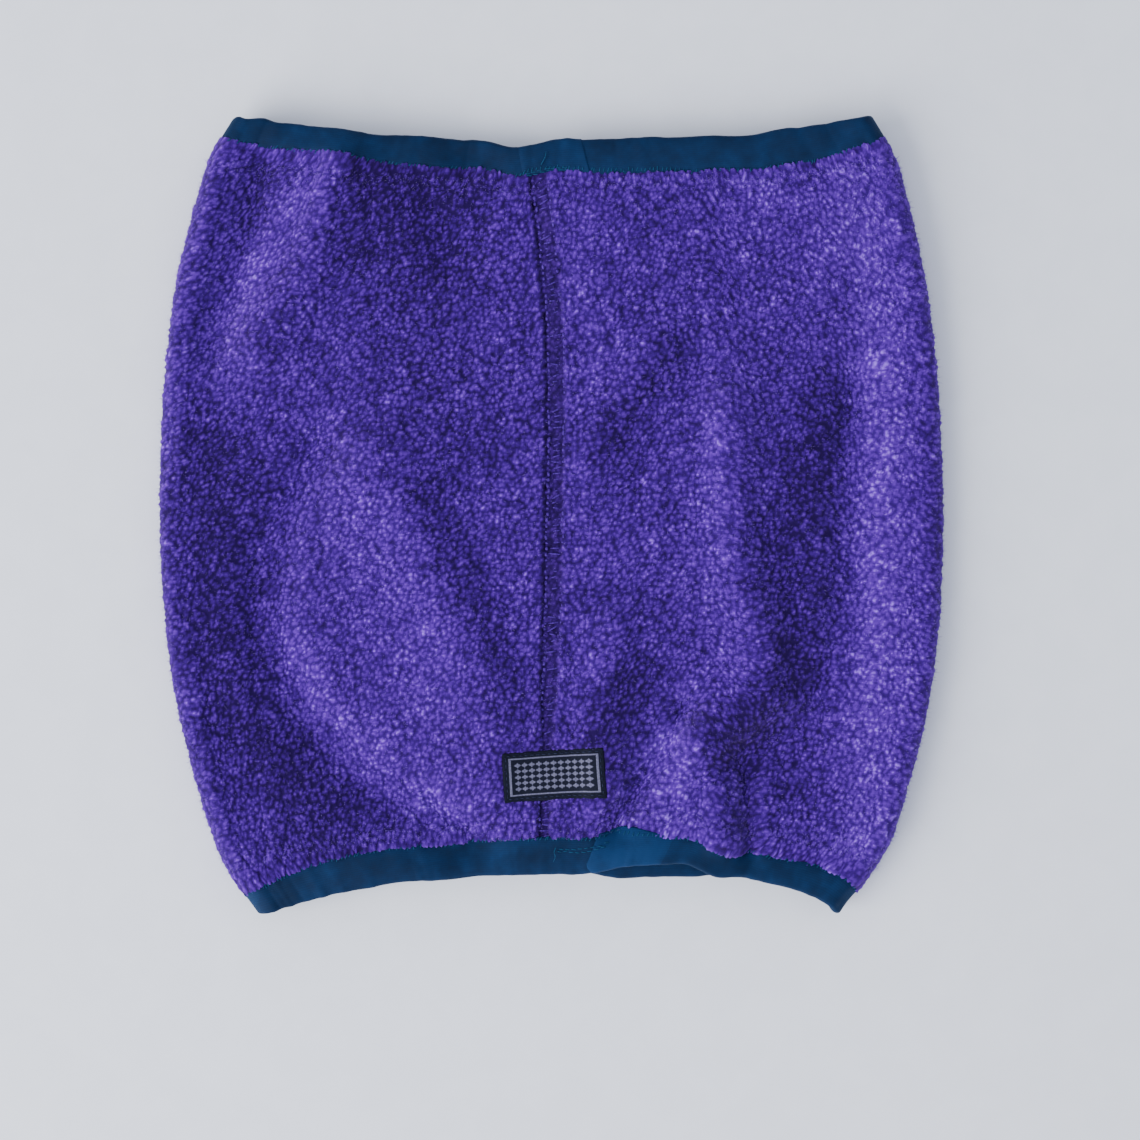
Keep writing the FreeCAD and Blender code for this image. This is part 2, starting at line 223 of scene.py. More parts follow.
def folds(x, y):
    height = np.zeros(np.shape(x))
    for points, width, rise in STROKES:
        height += FOLD_GAIN * rise * np.exp(-((stroke_distance(x, y, points) / width) ** 2))
    return height


print("strokes:", len(STROKES), "of which hollows:", sum(rise < 0 for _, _, rise in STROKES))

# %% [markdown]
# ## The tube's middle surface
# The cloth is first made as one thin surface, a net that goes round the tube (q, from 0 to 1,
# starting under the middle of the back) and along it (v, from the lower hem to the upper).
# The section is a flattened loop with round side folds. Everything else is laid on this net.

# %% Lay out the net
ROUND = 144
ALONG = 60
# any width does for finding which share of its own width each point has
TRIAL_WIDTH = 120.0
# the net stops short of the hem's line by this, as the tape's fold lies beyond it
HEM_INSET = 1.5
# room left at each side for the tips of the pile
SIDE_ROOM = 0.4
# a hem draws the sides in: from this share of the length to the hem, by this many mm
DRAWN_IN = ((0.075, 2.0), (0.03, 2.2))
# the front layer sinks no lower than this, and eases off over this many mm
FRONT_FLOOR = LAYER * 1.65
EASE = 1.2


def section(q, width, fold):
    """Place (x, z) round a flattened loop of that half width, whose side folds have that radius."""
    straight = width - fold
    total = 4 * straight + 2 * math.pi * fold
    run = q * total
    left = np.clip((run - straight) / fold, 0, math.pi)
    right = np.clip((run - 3 * straight - math.pi * fold) / fold, 0, math.pi)
    x = -np.clip(run, 0, straight) - fold * np.sin(left)
    x = x + np.clip(run - straight - math.pi * fold, 0, 2 * straight)
    x = x + fold * np.sin(right)
    x = x - np.clip(run - 3 * straight - 2 * math.pi * fold, 0, straight)
    z = -fold * np.cos(left) + fold * (np.cos(right) - 1)
    return x, z


def middle_surface():
    q = np.arange(ROUND) / ROUND
    v = np.linspace(0, 1, ALONG)[:, None]
    share, side = section(q, TRIAL_WIDTH, FOLD)
    share = share / TRIAL_WIDTH
    front = smooth(-0.6 * FOLD, 0.6 * FOLD, side)
    low_x, high_x = share * (reach(-130.0) - 2), share * (reach(130.0) - 2)
    low = lower_hem(low_x) + front * front_lift(low_x) + HEM_INSET
    high = upper_hem(high_x) - HEM_INSET - 0.8 * (1 - front)
    y = low + (high - low) * v
    to_hem = np.minimum(v, 1 - v)
    drawn_in = sum(amount * smooth(start, 0.0, to_hem) for start, amount in DRAWN_IN)
    width = reach(y) - LAYER / 2 - SIDE_ROOM + side_trim(low_x, y) - drawn_in
    x, z = section(q + 0 * y, width, FOLD)
    inner = 1 - smooth(0.80, 1.0, np.abs(x) / width)
    z = z + front * (folds(x, y) * (1 - smooth(0.93, 1.0, np.abs(x) / width)) - 0.8 * inner)
    lift = 2.6 * front * front_lift(x) / FRONT_LIFT * (1 - smooth(0.0, 0.12, v + 0 * x))
    z = z + lift + LYING_HEIGHT / 2
    eased = FRONT_FLOOR + EASE * np.logaddexp(0, (z - FRONT_FLOOR) / EASE)
    z = np.where(front > 0.5, eased, z)
    return np.stack([x, y, z], axis=-1)


net = middle_surface()
print("net:", net.shape, "lowest and highest z:", net[..., 2].min().round(1), net[..., 2].max().round(1))

# %% [markdown]
# ## From arrays to meshes
# Every piece is worked out as an array of points first, because folds and nubs are easier to
# add to numbers than to push about by hand. These helpers number the faces of a grid of points
# and hand the points to Blender. Cloth that would dip below the table is pressed against it.

# %% Mesh helpers
TABLE_GAP = 0.03


def grid_faces(rows, columns, wrap_rows=False, wrap_columns=False):
    """Quads over a grid of points numbered row by row."""
    i = np.arange(rows if wrap_rows else rows - 1)[:, None]
    j = np.arange(columns if wrap_columns else columns - 1)[None, :]
    up, across = (i + 1) % rows, (j + 1) % columns
    corners = [i * columns + j, i * columns + across, up * columns + across, up * columns + j]
    return np.stack([c + 0 * (i + j) for c in corners], axis=-1).reshape(-1, 4)


def new_piece(name, points, *faces):
    """A smooth-shaded mesh object from points in mm and arrays of faces, one array per face size."""
    mesh = bpy.data.meshes.new(name)
    sizes = np.concatenate([np.full(len(f), f.shape[1]) for f in faces])
    corners = np.concatenate([f.ravel() for f in faces])
    mesh.vertices.add(len(points))
    mesh.vertices.foreach_set("co", (np.asarray(points, float) * MM).ravel())
    mesh.loops.add(len(corners))
    mesh.loops.foreach_set("vertex_index", corners.astype(np.int32))
    mesh.polygons.add(len(sizes))
    mesh.polygons.foreach_set("loop_start", (np.cumsum(sizes) - sizes).astype(np.int32))
    mesh.update(calc_edges=True)
    mesh.validate()
    mesh.polygons.foreach_set("use_smooth", np.ones(len(mesh.polygons), bool))
    piece = bpy.data.objects.new(name, mesh)
    bpy.context.scene.collection.objects.link(piece)
    return piece


def above_table(points):
    """The same points, with any that dip below the table pressed flat against it."""
    pressed = np.array(points)
    pressed[..., 2] = np.maximum(pressed[..., 2], TABLE_GAP)
    return pressed


def points_of(mesh):
    flat = np.empty(3 * len(mesh.vertices))
    mesh.vertices.foreach_get("co", flat)
    return flat.reshape(-1, 3) / MM


print("fleece, tapes and fibres are kept this far above the table, mm:", TABLE_GAP)

# %% [markdown]
# ## Settling the cloth
# Strokes alone look modelled, so the net is handed to the cloth solver for a short while.
# The hem rows are pinned, as the tapes hold them. The cloth beside the hems is told that it
# is longer than it looks, because it was gathered on to the tape, and it buckles into soft
# puckers. No point may move further than a small cap, so the folds above keep their places.

# %% Cloth simulation of the net
SETTLE_FRAMES = 22
SETTLE_CAP = 4.0
PINNED_ROWS = 2
# the cloth at the hems is this much longer than it looks
SPARE_CLOTH = 0.10


def settle(net):
    """The net after a short cloth simulation with its hems pinned."""
    faces = grid_faces(ALONG, ROUND, wrap_columns=True)
    cloth = new_piece("net_in_solver", net.reshape(-1, 3), faces)
    rows = np.repeat(np.arange(ALONG), ROUND)
    edge = np.minimum(rows, ALONG - 1 - rows)
    held = cloth.vertex_groups.new(name="held")
    spare = cloth.vertex_groups.new(name="spare")
    for row in range(ALONG // 2):
        members = np.flatnonzero(edge == row).tolist()
        held.add(members, 1.0 if row < PINNED_ROWS else 0.0, "REPLACE")
        spare.add(members, math.exp(-row / 6.0), "REPLACE")
    modifier = cloth.modifiers.new("Cloth", "CLOTH")
    solver = modifier.settings
    solver.quality = 8
    solver.mass = 0.15
    solver.tension_stiffness = solver.compression_stiffness = 12.0
    solver.shear_stiffness = 5.0
    solver.bending_stiffness = 0.4
    solver.air_damping = 5.0
    solver.vertex_group_mass = "held"
    solver.vertex_group_shrink = "spare"
    solver.shrink_min = 0.0
    solver.shrink_max = -SPARE_CLOTH
    solver.effector_weights.gravity = 0.03
    scene = bpy.context.scene
    modifier.point_cache.frame_start = 1
    modifier.point_cache.frame_end = SETTLE_FRAMES
    for step in range(1, SETTLE_FRAMES + 1):
        scene.frame_set(step)
    evaluated = cloth.evaluated_get(bpy.context.evaluated_depsgraph_get())
    settled = points_of(evaluated.data).reshape(net.shape)
    bpy.data.objects.remove(cloth)
    scene.frame_set(1)
    move = settled - net
    length = np.linalg.norm(move, axis=-1, keepdims=True)
    move *= SETTLE_CAP * np.tanh(length / SETTLE_CAP) / np.maximum(length, 1e-6)
    print("settled, largest and mean move in mm:", length.max().round(2), length.mean().round(2))
    settled = net + move
    settled[..., 2] = np.maximum(settled[..., 2], LAYER / 2 + 0.1)
    return settled


net = settle(net)

# %% [markdown]
# ## Reading the net anywhere
# Pieces need places between the net's points: the fleece every half a millimetre, the tapes
# and stitches wherever they lie. A cubic (Catmull-Rom) reading of the sixteen points round a
# place gives a smooth surface, and small steps either way give its normal.

# %% Smooth reading of the net
def cubic_weights(t):
    return (
        0.5 * (-t + 2 * t**2 - t**3),
        0.5 * (2 - 5 * t**2 + 3 * t**3),
        0.5 * (t + 4 * t**2 - 3 * t**3),
        0.5 * (-(t**2) + t**3),
    )


def on_net(q, v):
    """Places in mm on the middle surface, at q round it and v along it."""
    q, v = np.broadcast_arrays(q, v)
    across = (q % 1.0) * ROUND
    up = np.clip(v, 0, 1) * (ALONG - 1)
    i = np.floor(across).astype(int)
    j = np.minimum(np.floor(up).astype(int), ALONG - 2)
    across_weights = cubic_weights(across - i)
    up_weights = cubic_weights(up - j)
    place = np.zeros(q.shape + (3,))
    for a in range(4):
        for b in range(4):
            row = j + b - 1
            corner = net[np.clip(row, 0, ALONG - 1), (i + a - 1) % ROUND]
            place += (across_weights[a] * up_weights[b])[..., None] * corner
    return place


def unit(vectors):
    return vectors / np.maximum(np.linalg.norm(vectors, axis=-1, keepdims=True), 1e-9)


def frame_at(q, v):
    """Place, direction round the tube, direction along it, and outward normal."""
    v = np.clip(v, 0.004, 0.996) + 0 * q
    round_way = unit(on_net(q + 0.002, v) - on_net(q - 0.002, v))
    up_way = unit(on_net(q, np.minimum(v + 0.004, 1)) - on_net(q, np.maximum(v - 0.004, 0)))
    return round_way, up_way, unit(np.cross(round_way, up_way))


print("middle of the front, mm:", on_net(np.array([0.5]), 0.5)[0].round(1))

# %% [markdown]
# A place has two names: millimetres on the cloth, and q and v on the net. The net's lengths
# turn one into the other, and a few steps towards a place find its q and v.

# %% Lengths of the net
def column_lengths():
    steps = np.linalg.norm(np.diff(net, axis=0), axis=-1).sum(axis=0)
    return np.append(steps, steps[0])


LENGTHS = column_lengths()


def length_at(q):
    """The tube's length from hem to hem along its surface, at q."""
    return np.interp(q % 1.0, np.linspace(0, 1, ROUND + 1), LENGTHS)


AROUND = float(np.linalg.norm(np.roll(net, -1, axis=1) - net, axis=-1).sum(axis=1).max())
print("round the middle, mm:", round(AROUND, 1), "hem to hem:", LENGTHS.mean().round(1))


FINDING_STEPS = 14


def on_front(x, y):
    """q and v of the front layer's places at x, y, found by stepping towards them."""
    q, v = 0.5 + x / AROUND, 0.5 + y / LENGTHS.mean()
    for _ in range(FINDING_STEPS):
        place = on_net(q, v)
        q = q + (x - place[..., 0]) / AROUND
        v = v + (y - place[..., 1]) / LENGTHS.mean()
    return q, v


# %% [markdown]
# ## Pile
# Napped fleece is a knit whose loops have been torn open and tumbled until the fibres clump
# into little nubs, each a millimetre and a half across. The clumps are real bumps here: every
# point of the fleece is lifted by how near it is to the middle of a nub, on a jittered
# honeycomb. The same number, kept on the mesh, later paints light on the tips and shade in
# the gaps: pale where light falls on a nub, dark where shade falls between them.

# %% Nub pattern
NUB_PITCH = 1.75
NUB_HEIGHT = 1.0
# how far apart the rows of a honeycomb are, as a share of its pitch
HONEYCOMB = 0.866
# how wide a stretch of its cell a nub's middle may fall in, as a share of the pitch
STRAY = 0.75
rng = np.random.default_rng(7)


def nub_pattern(run, rise, around):
    """Nub height, 0 to 1, at run round the tube and rise along it, both in mm."""
    columns = int(around / NUB_PITCH)
    pitch = around / columns
    row_pitch = HONEYCOMB * NUB_PITCH
    rows = int(rise.max() / row_pitch) + 4
    jitter = rng.random((rows, columns, 4))
    row = np.floor(rise / row_pitch).astype(int) + 1
    height = np.zeros(run.shape)
    for d_row in (-1, 0, 1):
        here = np.clip(row + d_row, 0, rows - 1)
        shift = 0.5 * (here % 2)
        column = np.floor(run / pitch - shift).astype(int)
        for d_column in (-1, 0, 1):
            cell = jitter[here, (column + d_column) % columns]
            middle_run = (column + d_column + shift + 0.5 + STRAY * (cell[..., 0] - 0.5)) * pitch
            middle_rise = (here - 1 + 0.5 + STRAY * (cell[..., 1] - 0.5)) * row_pitch
            radius = NUB_PITCH * (0.36 + 0.16 * cell[..., 2])
            away = np.hypot(run - middle_run, rise - middle_rise) / radius
            bump = (0.55 + 0.45 * cell[..., 3]) * np.exp(-(away**2))
            height = np.maximum(height, bump)
    return height


def soft_noise(run, rise, around, cell):
    """Even random waves about 0 with cells of that size, seamless round the tube."""
    columns = max(4, int(around / cell))
    rows = int(rise.max() / cell) + 3
    grid = rng.standard_normal((rows, columns))
    a, b = run / around * columns, rise / cell
    i, j = np.floor(a).astype(int), np.floor(b).astype(int)
    s, t = smooth(0, 1, a - i), smooth(0, 1, b - j)
    near = grid[j, i % columns] * (1 - s) + grid[j, (i + 1) % columns] * s
    far = grid[j + 1, i % columns] * (1 - s) + grid[j + 1, (i + 1) % columns] * s
    return near * (1 - t) + far * t


print("nubs to a square centimetre:", round(100 / (HONEYCOMB * NUB_PITCH**2)))

# %% [markdown]
# ## Painted light and shade
# Broad patches of the front layer are painted paler or deeper, as light and shade fall over
# its folds. Each mark below is a stroke of painted light or shade: a line of points with a
# half width, and a shade from -1 (deep) to 1 (pale).

# %% Strokes of the pile
PAINTED_SHADING_STROKES = [
    ([(-62, 112), (-30, 108)], 13.0, -0.55),
    ([(-60, 92), (-28, 88)], 14.0, -0.25),
    ([(-52, 70), (-34, 32)], 22.0, -0.22),
    ([(-114, 22), (-114, -30), (-104, -72), (-74, -106)], 15.0, -0.50),
    ([(-91, -43), (-70, -80), (-35, -103)], 7.0, 0.40),
    ([(-62, -6), (-42, -60)], 17.0, 0.24),
    ([(-42, 6), (-12, -64)], 7.0, -0.25),
    ([(-77, 118), (-103, 74)], 7.0, 0.42),
    ([(-99, 112), (-104, 96)], 6.0, -0.45),
    ([(-113, 60), (-110, 34)], 9.0, 0.22),
    ([(6, 100), (15, 50)], 8.0, 0.25),
    ([(41, 54), (18, 23)], 6.0, -0.30),
    ([(57, 31), (53, -19), (63, -60)], 7.0, 0.22),
    ([(68, 108), (96, 92)], 13.0, 0.25),
    ([(106, 112), (114, 40), (113, -50), (104, -112)], 11.0, 0.50),
    ([(93, 36), (80, -12), (84, -54), (56, -77)], 10.0, -0.48),
    ([(28, -58), (12, -86)], 9.0, -0.50),
    ([(40, -80), (44, -106)], 10.0, 0.60),
    ([(66, -84), (92, -100)], 10.0, -0.22),
]


def painted_shading_at(x, y):
    """Painted light and shade on the front layer: above 0 painted paler, below 0 painted deeper."""
    shade = np.zeros(np.shape(x))
    for line, width, amount in PAINTED_SHADING_STROKES:
        shade += amount * np.exp(-((stroke_distance(x, y, line) / width) ** 2))
    return np.clip(shade, -0.7, 0.7)


# strokes of painted light and shade on the pile
print("strokes of the pile:", len(PAINTED_SHADING_STROKES))

# %% [markdown]
# ## Where the label and the tapes lie
# The pile is shaped round the pieces that lie on it, so their places are worked out first. The
# label has axes of its own, turned a few degrees. How much of a tape shows is given at a few
# places along its hem, because the pile covers more of it in some places than in others.

# %% Places of the label and of the tapes' edges
LABEL_TURN = math.radians(3.4)
LABEL_WIDTH, LABEL_HEIGHT = 34.6, 16.8
label_middle = (label_low + label_high) / 2


def label_axes(x, y):
    """Places in the label's own axes: along it and up it, from its middle."""
    dx, dy = x - label_middle[0], y - label_middle[1]
    turn_x, turn_y = math.cos(LABEL_TURN), math.sin(LABEL_TURN)
    return dx * turn_x + dy * turn_y, dy * turn_x - dx * turn_y


# how far along the net each hem's places are read
HEM_V = {"top": 0.98, "bottom": 0.02}
# x of each place on a hem, and how much of the tape shows there
TAPE_SHOWS = {
    "top": (
        [-115, -90, -66, -50, -6, 25, 60, 85, 115],
        [7.2, 8.0, 7.8, 9.8, 9.2, 11.6, 11.4, 11.2, 7.6],
    ),
    "bottom": (
        [-106, -90, -70, -6, 9, 22, 38, 54, 85, 106],
        [5.8, 8.6, 10.6, 11.8, 11.8, 12.2, 8.2, 7.6, 8.2, 8.4],
    ),
}


def hem_x(q, end):
    """The x of each q on that hem."""
    return on_net(q, HEM_V[end])[..., 0]


def tape_width(q, end):
    """How much of a tape shows: less at the side folds, and where the pile leans over it."""
    places, widths = TAPE_SHOWS[end]
    return np.interp(hem_x(q, end), places, widths)


for end in ENDS:
    print(end, "tape shows, mm:", min(TAPE_SHOWS[end][1]), "to", max(TAPE_SHOWS[end][1]))

# %% [markdown]
# ## The fleece panel
# One closed mesh: the outer face runs up from the lower hem, the inner face runs back down.
# Its columns are close together on the front and the side folds, where the nubs show, and
# wider under the back. The pile is pressed flat inside the tapes, along the seam and under
# the label.

# %% Shape the fleece
# the mesh's spacing where the pile shows and where it doesn't, and how far the panel stops
# short of the net's ends
FINE = 0.52
COARSE = 1.7
HEM_IN = 0.8
# where the pile's roots lie, under the layer's outer face and under its inner face
ROOTS = 0.5
INNER_ROOTS = 0.3
# the band pressed by the seam: half its width, how far it is sunk, and how far the groove
# along its left side is sunk
SEAM_HALF = 3.2
SEAM_SUNK = 1.0
GROOVE_SUNK = 0.8
# how far the label presses the pile down
LABEL_SUNK = 0.9
# how far nubs stray from even rows, and how far pile leans out over a tape's edge
WANDER = 0.24
LEAN = 1.9


def even_columns():
    """q of each column: fine from one side fold over the front to the other, coarse behind."""
    first, last = 0.222, 0.778
    front = np.linspace(first, last, int((last - first) * AROUND / FINE))
    behind = np.linspace(last, 1 + first, int((1 + first - last) * AROUND / COARSE))[1:-1]
    return np.concatenate([front, behind]) % 1.0


def fleece_surface():
    q = even_columns()[None, :]
    outer_rows = int(LENGTHS.mean() / FINE)
    edge = HEM_IN / LENGTHS.mean()
    v = np.linspace(edge, 1 - edge, outer_rows)[:, None]
    v_back = np.linspace(1 - edge, edge, outer_rows // 5)[:, None]
    place = on_net(q, v)
    _, up_way, normal = frame_at(q, v)
    run, rise = q * AROUND + 0 * v, v * length_at(q)
    is_front = (q > 0.25) & (q < 0.75)
    x, y = place[..., 0], place[..., 1]

    wander = [WANDER * soft_noise(run, rise, AROUND, 1.3) for _ in range(2)]
    nubs = nub_pattern(run + wander[0], np.maximum(rise + wander[1], 0), AROUND)
    nubs = nubs * (0.86 + 0.14 * soft_noise(run, rise, AROUND, 2.6))
    clumps = soft_noise(run, rise, AROUND, 5.0)
    from_top = (1 - v) * length_at(q) - tape_width(q, "top")
    from_bottom = v * length_at(q) - tape_width(q, "bottom")
    from_edge = np.minimum(from_top, from_bottom)
    free = smooth(-0.9, 0.5, from_edge)

    ragged = 0.35 * soft_noise(run, rise, AROUND, 1.6)
    from_seam = np.where(is_front, x - seam_x(y), 99.0)
    half = SEAM_HALF * (1 - 0.45 * smooth(-45.0, -85.0, y))
    brushed_over = np.where(from_seam > 0, 1.25, 1.0)
    in_seam = 1 - smooth(half - 0.3, half + 0.6, brushed_over * np.abs(from_seam) + ragged)
    groove = np.exp(-(((from_seam + half + 0.4) / 0.6) ** 2))
    along, up = label_axes(x, y)
    inside_label = np.maximum(np.abs(along) - LABEL_WIDTH / 2, np.abs(up) - LABEL_HEIGHT / 2)
    under_label = np.where(is_front, 1 - smooth(-1.2, 0.8, inside_label), 0.0)

    pile = NUB_HEIGHT * nubs * (1 - 0.35 * in_seam) * (1 - under_label) * (0.35 + 0.65 * free)
    base = PRESSED + (LAYER / 2 - PRESSED - ROOTS) * free
    base = base - SEAM_SUNK * in_seam * free - GROOVE_SUNK * groove * free
    base = base - LABEL_SUNK * under_label
    base = base + 0.12 * clumps * free
    outer = place + normal * (base + pile)[..., None]
    toward_hem = np.where(from_top < from_bottom, 1.0, -1.0)
    over_tape = LEAN * np.sqrt(nubs) * np.exp(-((np.maximum(from_edge, 0) / 1.8) ** 2)) * free
    outer = outer + up_way * (toward_hem * over_tape)[..., None]

    # the colour number: painted light high on the nubs' tips, painted shade low in the gaps and in the
    # groove beside the seam
    lift = np.clip(nubs * (1 - 0.05 * in_seam) + 0.04 * clumps, 0, 1) - 0.25 * groove
    inner_place = on_net(q, v_back)
    _, _, inner_normal = frame_at(q, v_back)
    depth = np.minimum(v_back, 1 - v_back) * length_at(q)
    past_tape = smooth(TAPE_WIDTH - 1, TAPE_WIDTH + 1, depth)
    inner_base = PRESSED + (LAYER / 2 - PRESSED - INNER_ROOTS) * past_tape
    inner = inner_place - inner_normal * inner_base[..., None]
    points = above_table(np.concatenate([outer, inner]))
    height = np.concatenate([lift, np.full(inner.shape[:2], 0.35)])
    seam = np.concatenate([in_seam, np.zeros(inner.shape[:2])])
    # painted light and shade, laid only where the front layer faces up
    painted_shading = painted_shading_at(x, y) * smooth(-0.35, 0.35, normal[..., 2])
    painted_shading = np.concatenate([painted_shading, np.zeros(inner.shape[:2])])
    return points, height, seam, painted_shading, normal


# %% [markdown]
# The mesh keeps a few numbers at every point for its finish to read: how high on a nub the
# point is, which also sets the painted light on the tips and the painted shade in the gaps, how
# near to the seam, and the painted light and shade of the front layer.

# %% Build the fleece
def paint(piece, name, values):
    """Keeps one number or one vector for each point of the mesh, for materials to read."""
    values = np.asarray(values, float)
    if values.ndim == 1:
        layer = piece.data.attributes.new(name, "FLOAT", "POINT")
        layer.data.foreach_set("value", values)
    else:
        layer = piece.data.attributes.new(name, "FLOAT_VECTOR", "POINT")
        layer.data.foreach_set("vector", values.ravel())


points, height, in_seam, painted_shading, outer_normal = fleece_surface()
rows, columns = height.shape
faces = grid_faces(rows, columns, wrap_rows=True, wrap_columns=True)
fleece = new_piece("fleece_panel_pile", points.reshape(-1, 3), faces)
paint(fleece, "nub", height.ravel())
paint(fleece, "seam", in_seam.ravel())
paint(fleece, "painted_shading", painted_shading.ravel())
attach(fleece, "root")
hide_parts("fleece_panel")
print("fleece:", rows, "rows,", columns, "columns,", len(faces), "quads")

# %% [markdown]
# ## Helpers for finishes
# A finish is a small graph of nodes. Each helper adds one kind of node and returns its output,
# so that a finish below reads as a short list of steps.

# %% Material helpers
def new_material(name, roughness, **sockets):
    """A Principled material. Each socket is given by its name with underscores for spaces."""
    material = bpy.data.materials.new(name)
    material.use_nodes = True
    shader = material.node_tree.nodes["Principled BSDF"]
    shader.inputs["Roughness"].default_value = roughness
    for socket, value in sockets.items():
        shader.inputs[socket.replace("_", " ")].default_value = value
    return material, material.node_tree.nodes, material.node_tree.links, shader


def add(nodes, kind, **values):
    """A node with its own settings (by attribute name) and its input values (by socket name)."""
    node = nodes.new(kind)
    for name, value in values.items():
        if hasattr(node, name):
            setattr(node, name, value)
        else:
            node.inputs[name.replace("_", " ")].default_value = value
    return node


def read(nodes, name):
    return add(nodes, "ShaderNodeAttribute", attribute_name=name)


def math_node(nodes, links, operation, *values):
    """The operation on its values, each a number or an output socket."""
    node = nodes.new("ShaderNodeMath")
    node.operation = operation
    for socket, value in zip(node.inputs, values):
        if isinstance(value, (int, float)):
            socket.default_value = value
        else:
            links.new(value, socket)
    return node.outputs[0]


def noise(nodes, links, scale, detail=3.0, roughness=0.6):
    """Noise in the object's own space. scale is in cells to the metre."""
    place = nodes.new("ShaderNodeTexCoord")
    texture = add(nodes, "ShaderNodeTexNoise", Scale=scale, Detail=detail, Roughness=roughness)
    links.new(place.outputs["Object"], texture.inputs["Vector"])
    return texture.outputs["Fac"]


def ramp(nodes, links, value, stops):
    """A colour ramp over value. stops are (position, (r, g, b)) pairs."""
    node = nodes.new("ShaderNodeValToRGB")
    elements = node.color_ramp.elements
    while len(elements) < len(stops):
        elements.new(0.5)
    for element, (position, colour) in zip(elements, stops):
        element.position = position
        element.color = (*colour, 1.0)
    links.new(value, node.inputs["Fac"])
    return node.outputs["Color"]


def mix_colours(nodes, links, share, first, second, blend="MIX"):
    """Two colours mixed. share is a number or an output socket."""
    node = nodes.new("ShaderNodeMix")
    node.data_type = "RGBA"
    node.blend_type = blend
    if isinstance(share, float):
        node.inputs["Factor"].default_value = share
    else:
        links.new(share, node.inputs["Factor"])
    links.new(first, node.inputs["A"])
    links.new(second, node.inputs["B"])
    return node.outputs["Result"]


def bump(nodes, links, shader, height, strength, distance):
    node = add(nodes, "ShaderNodeBump", Strength=strength, Distance=distance * MM)
    links.new(height, node.inputs["Height"])
    links.new(node.outputs["Normal"], shader.inputs["Normal"])


# %% [markdown]
# ## Fleece finish
# Violet polyester pile: slightly glowing tips with painted light on them, over painted shade
# between the nubs. The nub number on the mesh drives the colour, the painted light and shade of
# the front layer shifts it, fine noise breaks it into fibres, and sheen gives the soft light that
# stands along every edge of a napped cloth.

# %% Fleece material
# how strongly the fibres' grain, the painted light and shade and the seam's pressing tell
GRAIN = 0.55
PAINTED_SHADING_SHARE = 0.42
SEAM_SHARE = 0.58


def fleece_material():
    material, nodes, links, shader = new_material(
        "violet_fleece",
        0.95,
        Sheen_Weight=0.22,
        Sheen_Roughness=0.5,
        Sheen_Tint=(0.62, 0.36, 1.0, 1.0),
        Specular_IOR_Level=0.08,
    )
    fibres = noise(nodes, links, 1900.0, detail=4.0, roughness=0.7)
    cloud = noise(nodes, links, 40.0, detail=2.0)
    nub = read(nodes, "nub").outputs["Fac"]
    grain = math_node(nodes, links, "MULTIPLY_ADD", fibres, GRAIN, -GRAIN / 2)
    level = math_node(nodes, links, "ADD", nub, grain)
    # the painted light and shade of the front layer shift the level up or down
    painted_shading = read(nodes, "painted_shading").outputs["Fac"]
    level = math_node(nodes, links, "MULTIPLY_ADD", painted_shading, PAINTED_SHADING_SHARE, level)
    # the ramp runs from painted shade in the gaps between nubs to painted light on their tips
    pile = ramp(
        nodes,
        links,
        level,
        [
            (0.0, (0.010, 0.001, 0.052)),
            (0.32, (0.037, 0.004, 0.170)),
            (0.68, (0.110, 0.021, 0.398)),
            (1.0, (0.300, 0.118, 0.860)),
        ],
    )
    seam = math_node(nodes, links, "MULTIPLY", read(nodes, "seam").outputs["Fac"], SEAM_SHARE)
    pressed_stops = [(0.3, (0.003, 0.001, 0.018)), (0.7, (0.014, 0.003, 0.055))]
    pressed = ramp(nodes, links, fibres, pressed_stops)
    colour = mix_colours(nodes, links, seam, pile, pressed)
    shade = ramp(nodes, links, cloud, [(0.3, (0.95, 0.95, 0.96)), (0.7, (1.0, 1.0, 1.0))])
    colour = mix_colours(nodes, links, 1.0, colour, shade, blend="MULTIPLY")
    links.new(colour, shader.inputs["Base Color"])
    bump(nodes, links, shader, fibres, 0.9, 0.35)
    return material


def finish(piece, material):
    piece.data.materials.clear()
    piece.data.materials.append(material)


finish(fleece, fleece_material())
print("finish:", fleece.data.materials[0].name)

# %% [markdown]
# ## The bindings
# Each hem is bound by a stretch tape folded over it. A tape is one closed ribbon: its outer
# leg, the fold over the hem, and its inner leg, drawn as a profile of (depth from the hem,
# height over the middle surface) and carried round the net. Stretched while it was sewn, it
# has drawn up into small ripples, deepest along the fold. Where its two ends lap, at the seam,
# a short second layer lies over the first.

# %% Ripples of the tapes
TAPE_STEP = 0.7
# heights of the tape's two faces over the middle surface, and where its fold starts
TAPE_BACK = PRESSED + TAPE_ROOM
TAPE_FACE = PRESSED + TAPE + TAPE_ROOM
FOLD_START = 0.4


def waves_of(cell):
    """Random waves round a hem with that spacing, which every layer of its tape shares."""
    seed = int(rng.integers(1 << 30))
    knots = np.random.default_rng(seed).standard_normal(int(AROUND / cell))
    stops = np.append(knots, knots[0])
    places = np.linspace(0, AROUND, len(stops))

    def wave(run):
        fine = np.linspace(0, AROUND, 8 * len(stops))
        soft = np.interp(fine, places, stops)
        soft = np.convolve(np.pad(soft, 8, "wrap"), np.hanning(17) / 8, "valid")
        return np.interp(run % AROUND, fine, soft)

    return wave


# spacing of the quick and the slow ripples, in mm
QUICK, SLOW = 2.6, 6.5
RIPPLES = {end: (waves_of(QUICK), waves_of(SLOW)) for end in ENDS}
print("ripples every", QUICK, "and", SLOW, "mm")

# %% [markdown]
# Seen end on, a folded tape is a long thin U. Its outline goes up the outer leg, round the fold,
# down the inner leg and back along the inside, so the ribbon made from it is closed.

